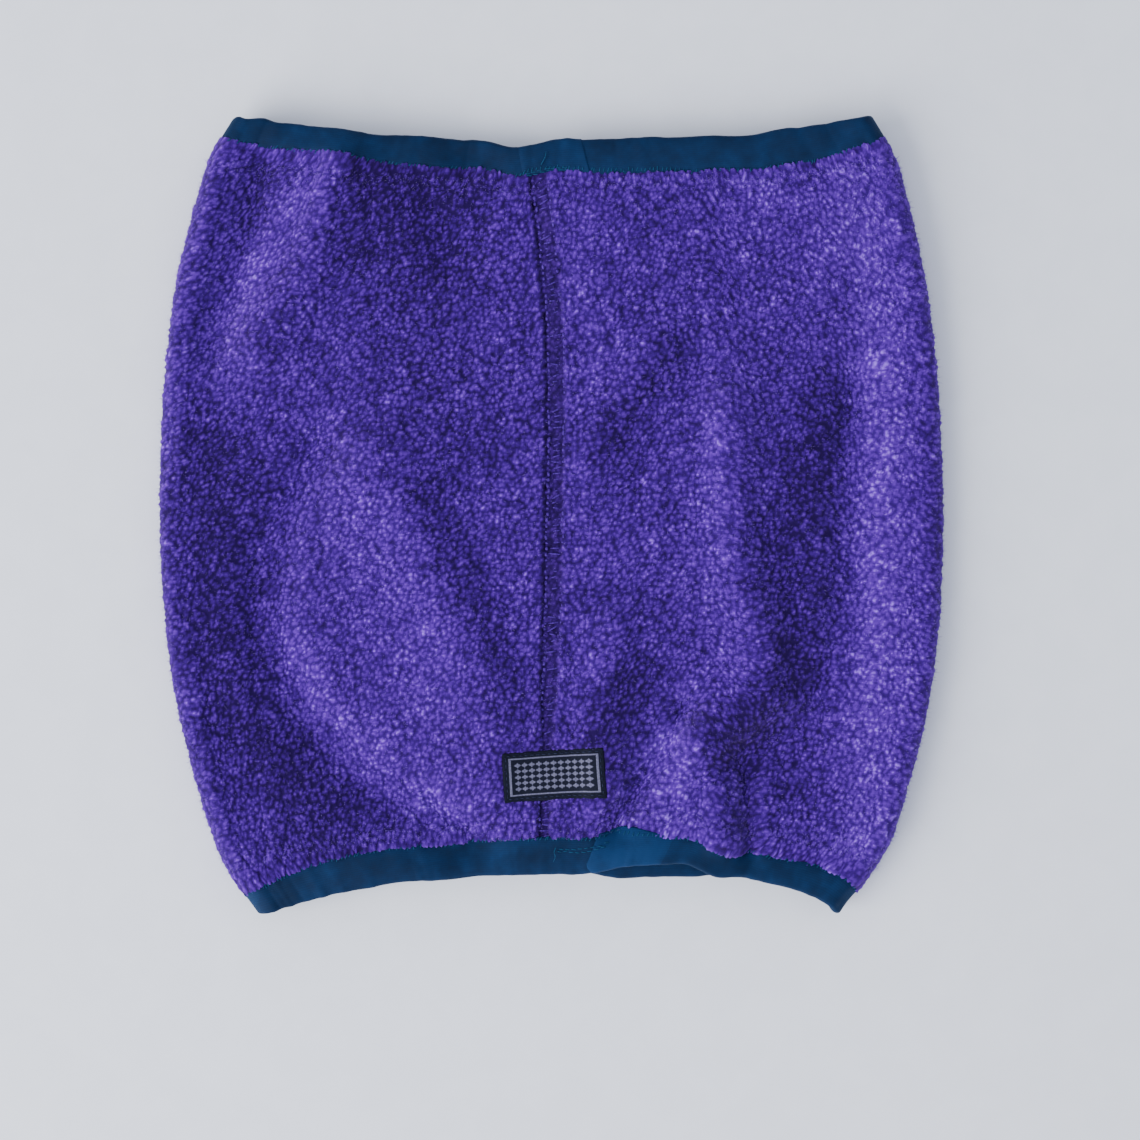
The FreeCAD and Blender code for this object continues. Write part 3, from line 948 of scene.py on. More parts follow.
# %% Profile of a folded tape
def tape_profile(width):
    """Closed outline of the folded tape as (depth, height) pairs."""
    outside, inside = TAPE_FACE, TAPE_BACK
    outline = [(width, outside - 0.25), (width - 0.5, outside), (0.75 * width, outside)]
    outline += [(0.5 * width, outside), (0.25 * width, outside)]
    for step in range(7):
        turn = math.pi * (step / 6)
        outline.append((FOLD_START - outside * math.sin(turn) * 0.9, outside * math.cos(turn)))
    outline += [(0.3 * width, -outside), (0.65 * width, -outside), (width - 1.0, -outside)]
    outline += [(width - 0.6, -inside - 0.2), (0.5 * width, -inside)]
    for step in range(5):
        turn = math.pi * (1 - step / 4)
        outline.append((FOLD_START - inside * math.sin(turn) * 0.9, inside * math.cos(turn)))
    outline += [(0.5 * width, inside), (width - 0.3, inside)]
    return outline


print("points round the profile:", len(tape_profile(TAPE_WIDTH)))

# %% [markdown]
# The profile is carried round the net, one column at a time. Each column is squeezed to how much
# of the tape shows there, lifted where it lies over another layer, and rippled. The ripples are
# deepest at the fold and at the hem's corners, where the stretched tape has least to hold it.

# %% Points of a tape
def tape_points(end, q, lift, slant, trim):
    """The tape's points for each q, lift over plain and its corner trimmed: columns by outline."""
    width = tape_width(q, end)
    length = length_at(q)
    full = np.array(tape_profile(TAPE_WIDTH))
    depth = full[None, :, 0] * (width / TAPE_WIDTH)[:, None]
    depth = np.where(full[None, :, 0] < 0.5, full[None, :, 0], depth)
    lift = lift[:, None] * (1 - 0.6 * (lift[:, None] > 0) * np.exp(-np.maximum(depth, 0) / 4.0))
    height = full[None, :, 1] + np.sign(full[None, :, 1]) * lift
    v = depth / length[:, None] if end == "bottom" else 1 - depth / length[:, None]
    q2 = q[:, None] + slant * np.maximum(depth, 0) / AROUND
    run = q2 * AROUND
    place = on_net(q2, np.clip(v, 0, 1))
    _, up_way, normal = frame_at(q2, v)
    outward = -up_way if end == "bottom" else up_way
    past = np.maximum(-depth, 0) + np.where(depth < FOLD_START, lift, 0)
    past = past - trim[:, None] * np.exp(-np.maximum(depth, 0) / 3.0)
    near_fold = np.exp(-np.maximum(depth, 0) / 5.0)
    waves = RIPPLES[end][0](run)
    slow = RIPPLES[end][1](run)
    corner = smooth(0.55, 0.95, np.abs(place[..., 0]) / 110.0)
    ripple = (0.26 * waves + 0.30 * slow) * (0.45 + 0.75 * corner)
    side = np.sign(height)
    place = place + outward * (past + ripple * near_fold * 0.9)[..., None]
    place = place + normal * (height + side * np.abs(ripple) * (0.25 + near_fold))[..., None]
    return above_table(place), run + 0 * depth, depth


# %% [markdown]
# A whole tape closes on itself. A lap's second layer has two ends, so each gets a face. Both
# keep their place along and across the tape at every point, and how much painted light
# brightens them, for the finish to read.

# %% Ribbon helpers
def ribbon(name, end, points, run, depth, whole, paler):
    """One closed ribbon from its columns of points. paler is how much painted light raises its shade."""
    columns, around = points.shape[:2]
    faces = [grid_faces(columns, around, wrap_rows=whole, wrap_columns=True)]
    if not whole:
        ring = np.arange(around)[None, :]
        faces.append(np.concatenate([ring[:, ::-1], ring + (columns - 1) * around]))
    if end == "top":
        faces = [f[:, ::-1] for f in faces]
    piece = new_piece(name, points.reshape(-1, 3), *faces)
    places = np.stack([run, depth, paler + 0 * run], axis=-1)
    paint(piece, "tape_place", places.reshape(-1, 3))
    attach(piece, "root")
    print(name, len(piece.data.polygons), "faces")
    return piece


def whole_tape(end):
    """The tape round one hem."""
    q = np.linspace(0, 1, int(AROUND / TAPE_STEP), endpoint=False)
    flat = np.zeros(len(q))
    piece = ribbon(end + "_tape", end, *tape_points(end, q, flat, 0.0, flat), True, 0.0)
    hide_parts(end + "_binding")
    return piece


def q_at(x, end):
    """The q on the front layer whose place on that hem is nearest to x."""
    q = np.linspace(0.25, 0.75, 2000)
    return float(q[np.argmin(np.abs(hem_x(q, end) - x))])


# %% [markdown]
# A lap's second layer starts with a cut end that stands up, and its other end sinks into the
# layer below. The upper lap starts left of the seam. The lower one starts right of it, with a
# corner that has curled round, and lies on the edge that rides up over the back layer.

# %% Build the tapes and their laps
# left and right are x of a lap's ends, rise and fall the lengths of its slopes, corner the
# radius of its first corner, and paler how much painted light brightens the second layer
Lap = namedtuple("Lap", "left right height rise fall corner paler")
LAPS = {
    "top": Lap(left=-12.5, right=11.0, height=0.40, rise=3.0, fall=0.8, corner=0.0, paler=0.06),
    "bottom": Lap(left=12.0, right=44.0, height=0.70, rise=0.8, fall=16.0, corner=4.5, paler=0.26),
}
# how deep a lap's last end sinks into the layer below
SUNK = 0.35


def lap_lift(q, end):
    """How high the lap's second layer lies over the first at q: below 0 where there is none."""
    lap = LAPS[end]
    first, last = q_at(lap.left, end), q_at(lap.right, end)
    starts = smooth(first, first + lap.rise / AROUND, q)
    there = starts * (1 - smooth(last - lap.fall / AROUND, last, q))
    return (lap.height + SUNK) * there - SUNK


def second_layer(end):
    """The second layer of a tape over its lap."""
    lap = LAPS[end]
    first, last = q_at(lap.left, end), q_at(lap.right, end)
    q = np.linspace(first, last, int((last - first) * AROUND / (TAPE_STEP / 2)))
    short = np.maximum(lap.corner - (q - first) * AROUND, 0)
    trim = lap.corner - np.sqrt(lap.corner**2 - short**2)
    lift = lap_lift(q, end)
    # painted light on the lap's second layer, where it lies over the first
    paler = (lap.paler * smooth(-SUNK, 0.4, lift))[:, None]
    return ribbon(end + "_tape_lap", end, *tape_points(end, q, lift, 0.25, trim), False, paler)


tapes = {end: [whole_tape(end), second_layer(end)] for end in ENDS}

# %% [markdown]
# ## Tape finish
# A warp-knitted stretch tape: dark teal, smoother than the fleece and with a slight sheen.
# Fine ribs run across it, less than half a millimetre apart. The place along and across the
# tape, kept on the mesh, lets the ribs follow every curve.

# %% Tape material
def tape_material():
    material, nodes, links, shader = new_material(
        "teal_stretch_tape",
        0.68,
        Sheen_Weight=0.04,
        Sheen_Roughness=0.4,
        Sheen_Tint=(0.2, 0.7, 1.0, 1.0),
        Specular_IOR_Level=0.09,
    )
    place = read(nodes, "tape_place").outputs["Vector"]
    ribs = add(nodes, "ShaderNodeTexWave", Scale=0.72, Distortion=1.2, Detail=2.0, Detail_Scale=1.4)
    links.new(place, ribs.inputs["Vector"])
    rows = add(
        nodes, "ShaderNodeTexWave", bands_direction="Y", Scale=0.5, Distortion=0.8, Detail=1.0
    )
    links.new(place, rows.inputs["Vector"])
    rows = math_node(nodes, links, "MULTIPLY", rows.outputs["Fac"], 0.35)
    knit = math_node(nodes, links, "MULTIPLY_ADD", ribs.outputs["Fac"], 0.65, rows)
    cloud = noise(nodes, links, 110.0)
    faint = math_node(nodes, links, "MULTIPLY", knit, 0.25)
    level = math_node(nodes, links, "MULTIPLY_ADD", cloud, 0.8, faint)
    axes = nodes.new("ShaderNodeSeparateXYZ")
    links.new(place, axes.inputs[0])
    # the place's third number is painted light on a lap's second layer
    level = math_node(nodes, links, "ADD", level, axes.outputs["Z"])
    stops = [
        (0.25, (0.0012, 0.0085, 0.029)),
        (0.55, (0.0022, 0.0158, 0.055)),
        (0.85, (0.0042, 0.0290, 0.098)),
    ]
    colour = ramp(nodes, links, level, stops)
    links.new(colour, shader.inputs["Base Color"])
    bump(nodes, links, shader, knit, 0.55, 0.12)
    return material


teal_tape = tape_material()
for piece in tapes["top"] + tapes["bottom"]:
    finish(piece, teal_tape)
print("finish:", teal_tape.name, "on", len(tapes["top"] + tapes["bottom"]), "ribbons")

# %% [markdown]
# A tape was cut as wide as its two legs and the fold between them, and its second layer as long
# as the lap, with a little more for the lap's slopes. Here each hem is only read off the net at
# 400 places round the tube.

for end in ENDS:
    hem = on_net(np.linspace(0, 1, 400), HEM_V[end])

# %% [markdown]
# ## Stitches
# Thread is only seen where it crosses the face of the cloth, so each stitch is one short
# strand, a little fat in the middle and diving into the cloth at both ends. One template is
# laid at every place that a row of stitches needs.

# %% Thread helper
def strand_template(sides=6):
    """Points of a unit strand along X, arched towards +Z, its quads and its two end faces."""
    stations = [(-0.5, 0.35), (-0.36, 0.85), (-0.13, 1.0), (0.13, 1.0), (0.36, 0.85), (0.5, 0.35)]
    points = []
    for along, girth in stations:
        for side in range(sides):
            turn = 2 * math.pi * side / sides
            points.append((along, girth * math.cos(turn), girth * math.sin(turn), 1 - 4 * along**2))
    quads = grid_faces(len(stations), sides, wrap_columns=True)
    ring = np.arange(sides)[None, :]
    ends = np.concatenate([ring[:, ::-1], ring + (len(stations) - 1) * sides])
    return np.array(points), quads[:, ::-1], ends[:, ::-1]


def strands(name, places, along, out, length, girth, arch, replaced, material):
    """One piece holding a strand at each place, lying along and standing out of the cloth."""
    template, quads, ends = strand_template()
    count = len(places)
    along, out = unit(along), unit(out)
    side = unit(np.cross(out, along))
    length = np.broadcast_to(length, (count,))[:, None, None]
    points = places[:, None, :] + along[:, None, :] * template[None, :, 0:1] * length
    points = points + side[:, None, :] * template[None, :, 1:2] * girth
    rise = template[None, :, 2:3] * girth * 0.8 + template[None, :, 3:4] * arch
    points = points + out[:, None, :] * rise
    shift = (np.arange(count) * len(template))[:, None, None]
    piece = new_piece(
        name,
        points.reshape(-1, 3),
        (quads[None] + shift).reshape(-1, 4),
        (ends[None] + shift).reshape(-1, ends.shape[1]),
    )
    finish(piece, material)
    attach(piece, "root")
    for node in replaced:
        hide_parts(node)
    print(name, count, "stitches")


def thread_material(name, dark, pale):
    """Spun polyester thread: two tones twisted together, with a faint gloss."""
    material, nodes, links, shader = new_material(name, 0.7, Specular_IOR_Level=0.1)
    twist = noise(nodes, links, 2600.0, detail=2.0)
    colour = ramp(nodes, links, twist, [(0.35, dark), (0.65, pale)])
    links.new(colour, shader.inputs["Base Color"])
    bump(nodes, links, shader, twist, 0.5, 0.08)
    return material


violet_thread = thread_material("violet_thread", (0.022, 0.004, 0.100), (0.100, 0.034, 0.360))
teal_thread = thread_material("teal_thread", (0.002, 0.022, 0.062), (0.009, 0.070, 0.150))
navy_thread = thread_material("navy_thread", (0.006, 0.008, 0.022), (0.025, 0.030, 0.070))
print("threads:", [thread.name for thread in (violet_thread, teal_thread, navy_thread)])

# %% [markdown]
# ## The front seam
# The panel's two edges meet edge to edge, and a flat seam holds them: two needle rows 6.4 mm
# apart, a cover thread that zigzags between them on the face, and loops on the inside. The
# net is read along the seam's line, so the ladder bends and dips with the cloth.

# %% Places along the seam
SEAM_PITCH = 1.95
GAUGE = 6.4
SEAM_ENDS = (-109.5, 113.5)
# the needle rows sink into the pile this far inside the gauge
ROW_IN = 0.5
# height of the pressed pile over the middle surface
SEAM_FACE = LAYER / 2 - ROOTS - SEAM_SUNK


def seam_line():
    """q and v of every stitch along the seam's middle line, but for those under the label."""
    y = np.arange(SEAM_ENDS[0], SEAM_ENDS[1], SEAM_PITCH)
    y = y[np.abs(y - label_middle[1]) > LABEL_HEIGHT / 2 - 0.5]
    return on_front(seam_x(y), y)


def seam_row(offset, surface):
    """Places and frames a distance to the right of the seam's middle, surface over the net."""
    q, v = seam_line()
    q = q + offset / AROUND
    round_way, up_way, normal = frame_at(q, v)
    return on_net(q, v) + normal * surface, round_way, up_way, normal


def uneven(count, spread):
    """Random shifts, one to a stitch, as a column, none over twice the spread."""
    return np.clip(rng.normal(0, spread, (count, 1)), -2 * spread, 2 * spread)


print("stitches in a row of the seam:", len(seam_line()[0]))

# %% [markdown]
# No two stitches are quite alike: each is shifted, turned and lengthened by a small random
# amount, so that here and there the pile closes over one. The loops inside stay even.

# %% Stitch the seam
for name, offset in (("left", -GAUGE / 2 + ROW_IN), ("right", GAUGE / 2 - ROW_IN)):
    place, across, along, normal = seam_row(offset, SEAM_FACE)
    count = len(place)
    strands(
        "seam_needle_row_" + name,
        place + across * uneven(count, 0.22) + normal * (0.10 + uneven(count, 0.22)),
        along + across * uneven(count, 0.12),
        normal,
        length=1.25 + uneven(count, 0.25)[:, 0],
        girth=0.48,
        arch=0.26,
        replaced=["seam_needle_thread_" + name],
        material=violet_thread,
    )
place, across, along, normal = seam_row(0.0, SEAM_FACE)
count = len(place)
strands(
    "seam_cover",
    place + across * uneven(count, 0.35) + normal * (uneven(count, 0.16) - 0.06),
    across + (0.16 + uneven(count, 0.20)) * along,
    normal,
    length=GAUGE - 3.4 + uneven(count, 0.6)[:, 0],
    girth=0.28,
    arch=0.18,
    replaced=["seam_cover_thread"],
    material=violet_thread,
)
place, across, along, normal = seam_row(0.0, -(LAYER / 2 - INNER_ROOTS))
strands(
    "seam_loops_inside",
    place,
    across - 0.22 * along,
    -normal,
    length=GAUGE,
    girth=0.26,
    arch=0.15,
    replaced=["seam_looper_thread"],
    material=violet_thread,
)

# %% [markdown]
# ## Stitches of the bindings
# One row of stitches runs round each tape near its raw edge, with the needle thread on the
# outside and the loops inside. The pile hides most of it: only beside the laps does the edge
# lie clear.

# %% Stitch the bindings
# spacing of the stitches on the outside and of the loops inside
TICK_PITCH = 1.6
HEM_PITCH = 2.7
# x from which and to which a tape's edge lies clear of the pile
CLEAR_EDGE = {"top": (-9.0, 46.0), "bottom": (13.0, 34.0)}


def row_depth(q, end):
    """How far the row of stitches is from where the pile covers the tape."""
    left, right = CLEAR_EDGE[end]
    x = hem_x(q, end)
    shown = smooth(left - 4.0, left + 2.0, x) * (1 - smooth(right - 6.0, right, x))
    return 0.5 + 1.1 * shown


def on_tape(q, end, inset, surface):
    """Places and frames on a tape, inset from its visible edge and surface over the net."""
    inward = (tape_width(q, end) - inset) / length_at(q)
    v = inward if end == "bottom" else 1 - inward
    round_way, up_way, normal = frame_at(q, v)
    return on_net(q, v) + normal * np.reshape(surface, (-1, 1)), round_way, up_way, normal


for end in ENDS:
    q = np.arange(int(AROUND / TICK_PITCH)) / int(AROUND / TICK_PITCH)
    surface = TAPE_FACE + 0.06 + np.maximum(lap_lift(q, end), 0)
    place, along, up_way, normal = on_tape(q, end, row_depth(q, end), surface)
    count = len(q)
    strands(
        end + "_tape_stitches",
        place + along * uneven(count, 0.22) + up_way * uneven(count, 0.15),
        up_way + (0.45 + uneven(count, 0.25)) * along,
        normal,
        length=1.5 + uneven(count, 0.25)[:, 0],
        girth=0.17,
        arch=0.08,
        replaced=[end + "_binding_needle_thread"],
        material=teal_thread,
    )
    q = np.arange(int(AROUND / HEM_PITCH)) / int(AROUND / HEM_PITCH)
    place, along, _, normal = on_tape(q, end, 2.2, -TAPE_FACE - 0.02)
    strands(
        end + "_tape_loops",
        place,
        along,
        -normal,
        length=2.2,
        girth=0.21,
        arch=0.10,
        replaced=[end + "_binding_looper_thread"],
        material=teal_thread,
    )

# %% [markdown]
# Each lap is closed by two short rows of dashes that run along the tape, as a back-tack does.
# They lie on whichever layer is uppermost there.

# %% Close the laps
# for each lap, where its dashes start and stop and how far the rows are from the hem
TACKS = {"top": (-8.0, 5.0, (8.4, 9.2)), "bottom": (2.5, 18.5, (6.8, 7.7))}
DASH_PITCH = 2.1

for end in ENDS:
    left, right, depths = TACKS[end]
    x = np.arange(left, right, DASH_PITCH)
    q = np.concatenate([[q_at(at + shift, end) for at in x] for shift in (0.0, 0.8)])
    depth = np.repeat(depths, len(x))
    surface = TAPE_FACE + 0.04 + np.maximum(lap_lift(q, end), 0)
    place, along, up_way, normal = on_tape(q, end, tape_width(q, end) - depth, surface)
    strands(
        end + "_lap_tack",
        place + up_way * uneven(len(q), 0.12),
        along + up_way * uneven(len(q), 0.12),
        normal,
        length=1.7,
        girth=0.16,
        arch=0.08,
        replaced=[end + "_join_tack"],
        material=teal_thread,
    )

# %% [markdown]
# ## The woven label
# A small damask label lies over the seam near the lower hem, turned a few degrees. It is one
# closed sheet that follows the cloth under it, pressed into the pile by its stitches. The
# design is a plain one made for this part: a thin frame round a lattice of small diamonds.

# %% Outline of the label
# thickness, corner radius, height of the underside over the net, and how far the row of
# stitches is from the edge
LABEL_THICK = 0.8
LABEL_CORNER = 0.8
LABEL_BASE = 0.85
LABEL_ROW_IN = 1.2


def label_places(a, b, height):
    """Places over the front layer for label axes a and b."""
    turn_x, turn_y = math.cos(LABEL_TURN), math.sin(LABEL_TURN)
    x = label_middle[0] + a * turn_x - b * turn_y
    y = label_middle[1] + a * turn_y + b * turn_x
    q, v = on_front(x, y)
    round_way, up_way, normal = frame_at(q, v)
    return on_net(q, v) + normal * height[..., None], round_way, up_way, normal


def round_corners(a, b):
    """The same grid with the rectangle's four corners rounded off."""
    past_a = np.maximum(np.abs(a) - (LABEL_WIDTH / 2 - LABEL_CORNER), 0)
    past_b = np.maximum(np.abs(b) - (LABEL_HEIGHT / 2 - LABEL_CORNER), 0)
    shrink = np.minimum(1, LABEL_CORNER / np.maximum(np.hypot(past_a, past_b), 1e-6))
    return a - np.sign(a) * past_a * (1 - shrink), b - np.sign(b) * past_b * (1 - shrink)


def rim_faces(rows, columns, shift):
    """Quads that join the border of one grid to the same border shift points later."""
    bottom = np.arange(columns)
    right = np.arange(1, rows) * columns + columns - 1
    top = np.arange(columns - 2, -1, -1) + (rows - 1) * columns
    left = np.arange(rows - 2, -1, -1) * columns
    ring = np.concatenate([bottom, right, top, left])
    start, end = ring[:-1], ring[1:]
    return np.stack([start, start + shift, end + shift, end], axis=-1)


print("label, mm:", LABEL_WIDTH, "by", LABEL_HEIGHT, "by", LABEL_THICK)

# %% [markdown]
# Its upper and lower faces are two grids of the same points, joined round the rim. The face
# dips along its row of stitches and puckers a little between them.

# %% Build the label
def woven_label():
    columns, rows = 84, 44
    a = np.linspace(-LABEL_WIDTH / 2, LABEL_WIDTH / 2, columns)[None, :] + np.zeros((rows, 1))
    b = np.linspace(-LABEL_HEIGHT / 2, LABEL_HEIGHT / 2, rows)[:, None] + np.zeros((1, columns))
    a, b = round_corners(a, b)
    edge = np.minimum(LABEL_WIDTH / 2 - np.abs(a), LABEL_HEIGHT / 2 - np.abs(b))
    pucker = 0.10 * np.cos(a * 2 * math.pi / 4.1) * np.exp(-edge / 1.6)
    sunk = 0.22 * np.exp(-(((edge - LABEL_ROW_IN) / 0.6) ** 2))
    face = LABEL_BASE + LABEL_THICK - 0.35 * np.exp(-edge / 0.35) - sunk + pucker
    top = label_places(a, b, face)[0]
    under = label_places(a, b, LABEL_BASE - 0.3 + 0 * a)[0]
    faces = grid_faces(rows, columns)
    piece = new_piece(
        "woven_label_face",
        np.concatenate([top, under]).reshape(-1, 3),
        faces,
        faces[:, ::-1] + rows * columns,
        rim_faces(rows, columns, rows * columns),
    )
    place = np.stack([a, b, 0 * a], axis=-1)
    paint(piece, "label_place", np.concatenate([place, place]).reshape(-1, 3))
    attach(piece, "root")
    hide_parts("woven_label")
    return piece


label = woven_label()
print("label:", len(label.data.polygons), "faces")

# %% [markdown]
# ## Label finish
# Damask weave is two sets of fine threads, so the ground and the design are both made of tiny
# ribs, and every edge of the design is stepped from thread to thread. The design is worked out
# from the place on the label, in millimetres, snapped to the thread pitch.

# %% Label material
WEFT = 0.25
# half the frame's width and height, the thickness of its line, and a diamond's width and height
FRAME_HALF = (15.0, 6.1)
FRAME_LINE = 0.6
DIAMOND = (2.5, 2.0)
# where a diamond ends, as a share of the way from its middle to halfway to the next one
DIAMOND_END = 0.86
# the lattice keeps this far inside the frame
MARGIN = 1.0


def label_material():
    material, nodes, links, shader = new_material(
        "navy_damask",
        0.65,
        Sheen_Weight=0.02,
        Specular_IOR_Level=0.12,
    )
    place = read(nodes, "label_place").outputs["Vector"]
    snapped = nodes.new("ShaderNodeVectorMath")
    snapped.operation = "SNAP"
    snapped.inputs[1].default_value = (WEFT, WEFT, 1.0)
    links.new(place, snapped.inputs[0])
    axes = nodes.new("ShaderNodeSeparateXYZ")
    links.new(snapped.outputs[0], axes.inputs[0])
    a, b = axes.outputs["X"], axes.outputs["Y"]
    past = []
    for axis, half in ((a, FRAME_HALF[0]), (b, FRAME_HALF[1])):
        distance = math_node(nodes, links, "ABSOLUTE", axis)
        past.append(math_node(nodes, links, "SUBTRACT", distance, half))
    out = math_node(nodes, links, "MAXIMUM", past[0], past[1])
    frame_line = math_node(nodes, links, "COMPARE", out, 0.0, FRAME_LINE / 2)
    waves = []
    for axis, pitch in ((a, DIAMOND[0]), (b, DIAMOND[1])):
        folded = math_node(nodes, links, "PINGPONG", axis, pitch / 2)
        waves.append(math_node(nodes, links, "DIVIDE", folded, pitch / 2))
    diamond = math_node(nodes, links, "ADD", waves[0], waves[1])
    lattice = math_node(nodes, links, "LESS_THAN", diamond, DIAMOND_END)
    inside = math_node(nodes, links, "LESS_THAN", out, -MARGIN)
    design = math_node(nodes, links, "MULTIPLY", lattice, inside)
    design = math_node(nodes, links, "MAXIMUM", design, frame_line)
    ribs = add(nodes, "ShaderNodeTexWave", bands_direction="Y", Scale=1.05, Distortion=0.5)
    links.new(place, ribs.inputs["Vector"])
    grain = noise(nodes, links, 2400.0, detail=3.0)
    ground_stops = [(0.3, (0.0015, 0.0024, 0.009)), (0.7, (0.005, 0.007, 0.022))]
    ground = ramp(nodes, links, grain, ground_stops)
    pale = ramp(nodes, links, grain, [(0.3, (0.07, 0.07, 0.13)), (0.7, (0.17, 0.17, 0.27))])
    colour = mix_colours(nodes, links, design, ground, pale)
    links.new(colour, shader.inputs["Base Color"])
    raised = math_node(nodes, links, "MULTIPLY", design, 0.6)
    weave = math_node(nodes, links, "ADD", ribs.outputs["Fac"], raised)
    bump(nodes, links, shader, weave, 0.6, 0.10)
    return material


finish(label, label_material())
print("finish:", label.data.materials[0].name)

# %% [markdown]
# A row of dark stitches runs round the label just inside its edge, through both of its layers
# and the fleece. Each is laid in the label's own axes, so the row turns with the label.

# %% Stitch the label down
LABEL_ROW_PITCH = 2.0


def label_edge(inset, pitch):
    """Places a, b and directions along a rectangle that far inside the label's edge."""
    half_a, half_b = LABEL_WIDTH / 2 - inset, LABEL_HEIGHT / 2 - inset
    corners = [(-half_a, -half_b), (half_a, -half_b), (half_a, half_b), (-half_a, half_b)]
    rows = []
    for (a0, b0), (a1, b1) in zip(corners, corners[1:] + corners[:1]):
        length = math.hypot(a1 - a0, b1 - b0)
        share = (np.arange(int(length / pitch)) + 0.5) / int(length / pitch)
        way = np.array([(a1 - a0) / length, (b1 - b0) / length])
        rows += [(a0 + (a1 - a0) * s, b0 + (b1 - b0) * s, way[0], way[1]) for s in share]
    return np.array(rows).T


a, b, way_a, way_b = label_edge(LABEL_ROW_IN, LABEL_ROW_PITCH)
place, round_way, up_way, normal = label_places(a, b, LABEL_BASE + LABEL_THICK - 0.14 + 0 * a)
strands(
    "label_edge_stitches",
    place,
    round_way * way_a[:, None] + up_way * way_b[:, None],
    normal,
    length=1.3,
    girth=0.17,
    arch=0.10,
    replaced=["label_stitching"],
    material=navy_thread,
)

# %% [markdown]
# ## Loose fibres
# Napping leaves single fibres standing out of the pile. They soften the outline and creep over
# the edges of the tapes and the label. Each is a thin closed spike, so the exported mesh is
# sound, and more are set near the side folds and the hems, where they show against the floor.

# %% Scatter the fibres
FIBRES = 34000
# shares of the way from a hem: under the tape, and where the fibres are thickest beside it
UNDER_TAPE = 0.046
BESIDE_TAPE = 0.052
SPREAD = 0.012
# turns to the three corners of a fibre's foot
THIRDS = (0, 2.094, 4.189)


def loose_fibres():
    """Thin closed spikes standing out of the pile, more of them where they show."""
    rows, columns = outer_normal.shape[:2]
    outer = points[:rows].reshape(-1, 3)
    normal = outer_normal.reshape(-1, 3)
    raised = np.maximum(height[:rows].ravel(), 0)
    up_share = np.repeat(np.linspace(0, 1, rows), columns)
    to_hem = np.minimum(up_share, 1 - up_share)
    near_hem = np.exp(-((to_hem - BESIDE_TAPE) ** 2) / SPREAD**2)
    outline = np.exp(-((normal[:, 2] / 0.55) ** 2))
    weight = (0.15 + raised) * (0.35 + 1.6 * outline + 1.2 * near_hem) * (normal[:, 2] > -0.6)
    weight = weight * (1 - 0.6 * in_seam[:rows].ravel())
    weight = np.where(to_hem < UNDER_TAPE, 0, weight)
    chosen = rng.choice(len(outer), FIBRES, replace=False, p=weight / weight.sum())
    root, out = outer[chosen], normal[chosen]
    way = unit(out * 0.75 + rng.normal(0, 0.55, (FIBRES, 3)))
    length = rng.uniform(0.6, 1.5, (FIBRES, 1)) * (1 + 0.5 * outline[chosen][:, None])
    thick = rng.uniform(0.05, 0.085, (FIBRES, 1))
    side = unit(np.cross(way, rng.normal(0, 1, (FIBRES, 3))))
    third = unit(np.cross(way, side))
    start = root - out * 0.15
    ring = [start + (side * math.cos(t) + third * math.sin(t)) * thick for t in THIRDS]
    tip = start + way * length
    fibre_points = np.stack([*ring, tip], axis=1)
    lowest = fibre_points[..., 2].min(axis=1)
    fibre_points[..., 2] += np.maximum(TABLE_GAP - lowest, 0)[:, None]
    first = (np.arange(FIBRES) * 4)[:, None]
    corners = [[0, 2, 1], [0, 1, 3], [1, 2, 3], [2, 0, 3]]
    faces = np.concatenate([first + np.array(c)[None, :] for c in corners])
    piece = new_piece("loose_fibres", fibre_points.reshape(-1, 3), faces)
    # each fibre keeps the painted light and shade of its root
    paint(piece, "painted_shading", np.repeat(painted_shading[:rows].ravel()[chosen], 4))
    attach(piece, "root")
    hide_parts("fleece_panel")
    return piece


def fibre_material():
    material, nodes, links, shader = new_material("violet_fibre", 0.9, Sheen_Weight=0.3)
    shade = noise(nodes, links, 700.0)
    # the fibres take the painted light and shade of the pile they stand in
    painted_shading_here = read(nodes, "painted_shading").outputs["Fac"]
    tone_and_painted_shading = math_node(nodes, links, "MULTIPLY_ADD", painted_shading_here, 0.4, shade)
    colour = ramp(nodes, links, tone_and_painted_shading, [(0.25, (0.068, 0.015, 0.27)), (0.75, (0.26, 0.11, 0.70))])
    links.new(colour, shader.inputs["Base Color"])
    return material


fibres = loose_fibres()
finish(fibres, fibre_material())
print("loose fibres:", FIBRES)

# %% [markdown]
# ## Thread tails
# Where a machine row ends, a few millimetres of thread are left. Each is a tapered tube along
# a short curve, given point by point.

# %% Thread tails
TAIL_GIRTH = 0.17
# points along each tail in mm: x, y and the height over the front layer
TAILS = {
    "top_thread_tail": [
        (-3.4, 117.4, 2.2),
        (-2.6, 118.8, 2.7),
        (-1.9, 120.2, 2.9),
        (-1.7, 121.6, 2.7),
    ],
    "bottom_thread_tail": [
        (1.6, -113.0, 2.4),
        (0.9, -114.6, 3.0),
        (1.5, -116.2, 3.0),
        (0.7, -117.6, 2.7),
    ],
}


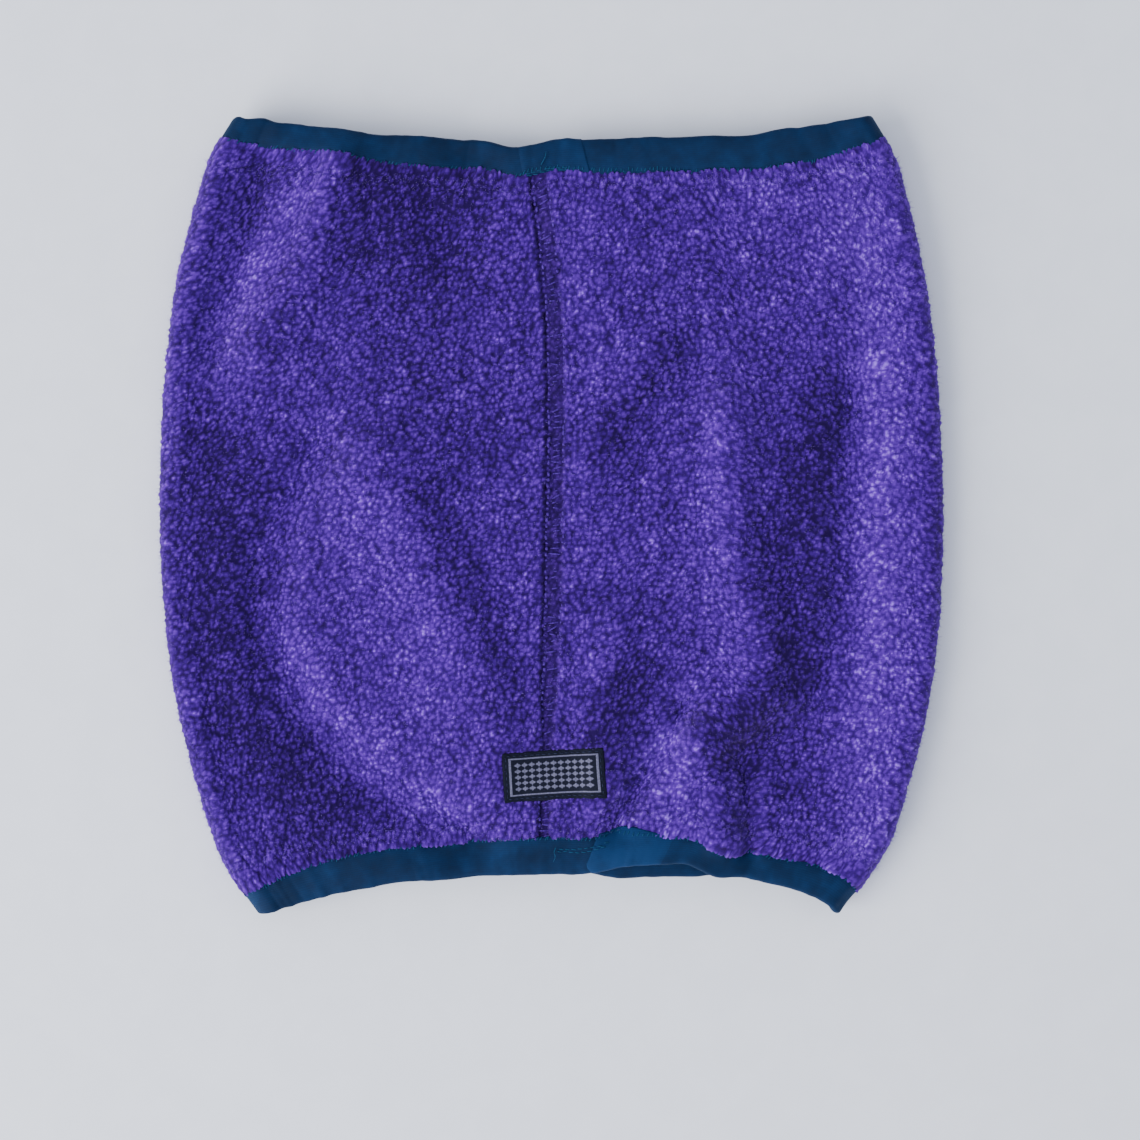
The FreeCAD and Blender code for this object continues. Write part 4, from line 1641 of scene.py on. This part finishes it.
def tail(name, route):
    """A thin tube along a route, thinner at its free end."""
    route = np.array(route, float)
    share = np.linspace(0, 1, 14)
    knots = np.linspace(0, 1, len(route))
    curve = np.stack([np.interp(share, knots, route[:, axis]) for axis in range(3)], axis=-1)
    for _ in range(2):
        curve[1:-1] = (curve[:-2] + 2 * curve[1:-1] + curve[2:]) / 4
    q, v = on_front(curve[:, 0], curve[:, 1])
    _, _, normal = frame_at(q, np.clip(v, 0, 1))
    centre = on_net(q, v) + normal * curve[:, 2:3]
    way = unit(np.gradient(centre, axis=0))
    side = unit(np.cross(way, normal))
    up = unit(np.cross(side, way))
    turn = np.linspace(0, 2 * math.pi, 6, endpoint=False)
    radius = (TAIL_GIRTH * (1 - 0.6 * share**3))[:, None, None]
    cosine, sine = np.cos(turn)[None, :, None], np.sin(turn)[None, :, None]
    ring = side[:, None, :] * cosine + up[:, None, :] * sine
    tube = centre[:, None, :] + ring * radius
    quads = grid_faces(len(share), 6, wrap_columns=True)
    cap = np.arange(6)[None, :]
    ends = np.concatenate([cap[:, ::-1], cap + (len(share) - 1) * 6])
    piece = new_piece(name, tube.reshape(-1, 3), quads, ends)
    finish(piece, teal_thread)
    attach(piece, "root")


for name, route in TAILS.items():
    tail(name, route)
    print(name, "through", len(route), "points")

# %% [markdown]
# ## Floor and light
# The gaiter lies on a plain pale table. One large soft light stands low on the left and makes
# the pile and the folds readable, with short shadows to the right. A pale, slightly cool room
# fills the rest.

# %% Floor and light
FLOOR_HALF = 2500.0
# places in metres, power in watts
WINDOW_PLACE = (-1.30, -0.75, 0.90)
WINDOW_SIZE = 1.5
WINDOW_POWER = 59.0
WINDOW_COLOUR = (1.0, 0.99, 0.98)
ROOM_COLOUR = (0.85, 0.90, 1.0, 1.0)
ROOM_STRENGTH = 1.06


def floor_material():
    material, nodes, links, shader = new_material("pale_table", 0.85, Specular_IOR_Level=0.2)
    grain = noise(nodes, links, 60.0, detail=2.0)
    colour = ramp(nodes, links, grain, [(0.4, (0.82, 0.85, 0.95)), (0.6, (0.84, 0.87, 0.97))])
    links.new(colour, shader.inputs["Base Color"])
    return material


def floor():
    half = FLOOR_HALF
    corners = [(-half, -half, 0.0), (half, -half, 0.0), (half, half, 0.0), (-half, half, 0.0)]
    plane = new_piece("floor", corners, np.array([[0, 1, 2, 3]]))
    finish(plane, floor_material())


def area_light(name, place, size, power, colour):
    """A square lamp at place that faces the middle of the table."""
    data = bpy.data.lights.new(name, "AREA")
    data.size = size
    data.energy = power
    data.color = colour
    lamp = bpy.data.objects.new(name, data)
    lamp.location = place
    way = -Vector(place)
    lamp.rotation_euler = way.to_track_quat("-Z", "Y").to_euler()
    bpy.context.scene.collection.objects.link(lamp)


floor()
area_light("window", WINDOW_PLACE, WINDOW_SIZE, WINDOW_POWER, WINDOW_COLOUR)
world = bpy.data.worlds.new("room")
world.use_nodes = True
room = world.node_tree.nodes["Background"]
room.inputs["Color"].default_value = ROOM_COLOUR
room.inputs["Strength"].default_value = ROOM_STRENGTH
bpy.context.scene.world = world
print("window:", WINDOW_POWER, "W, room:", ROOM_STRENGTH)
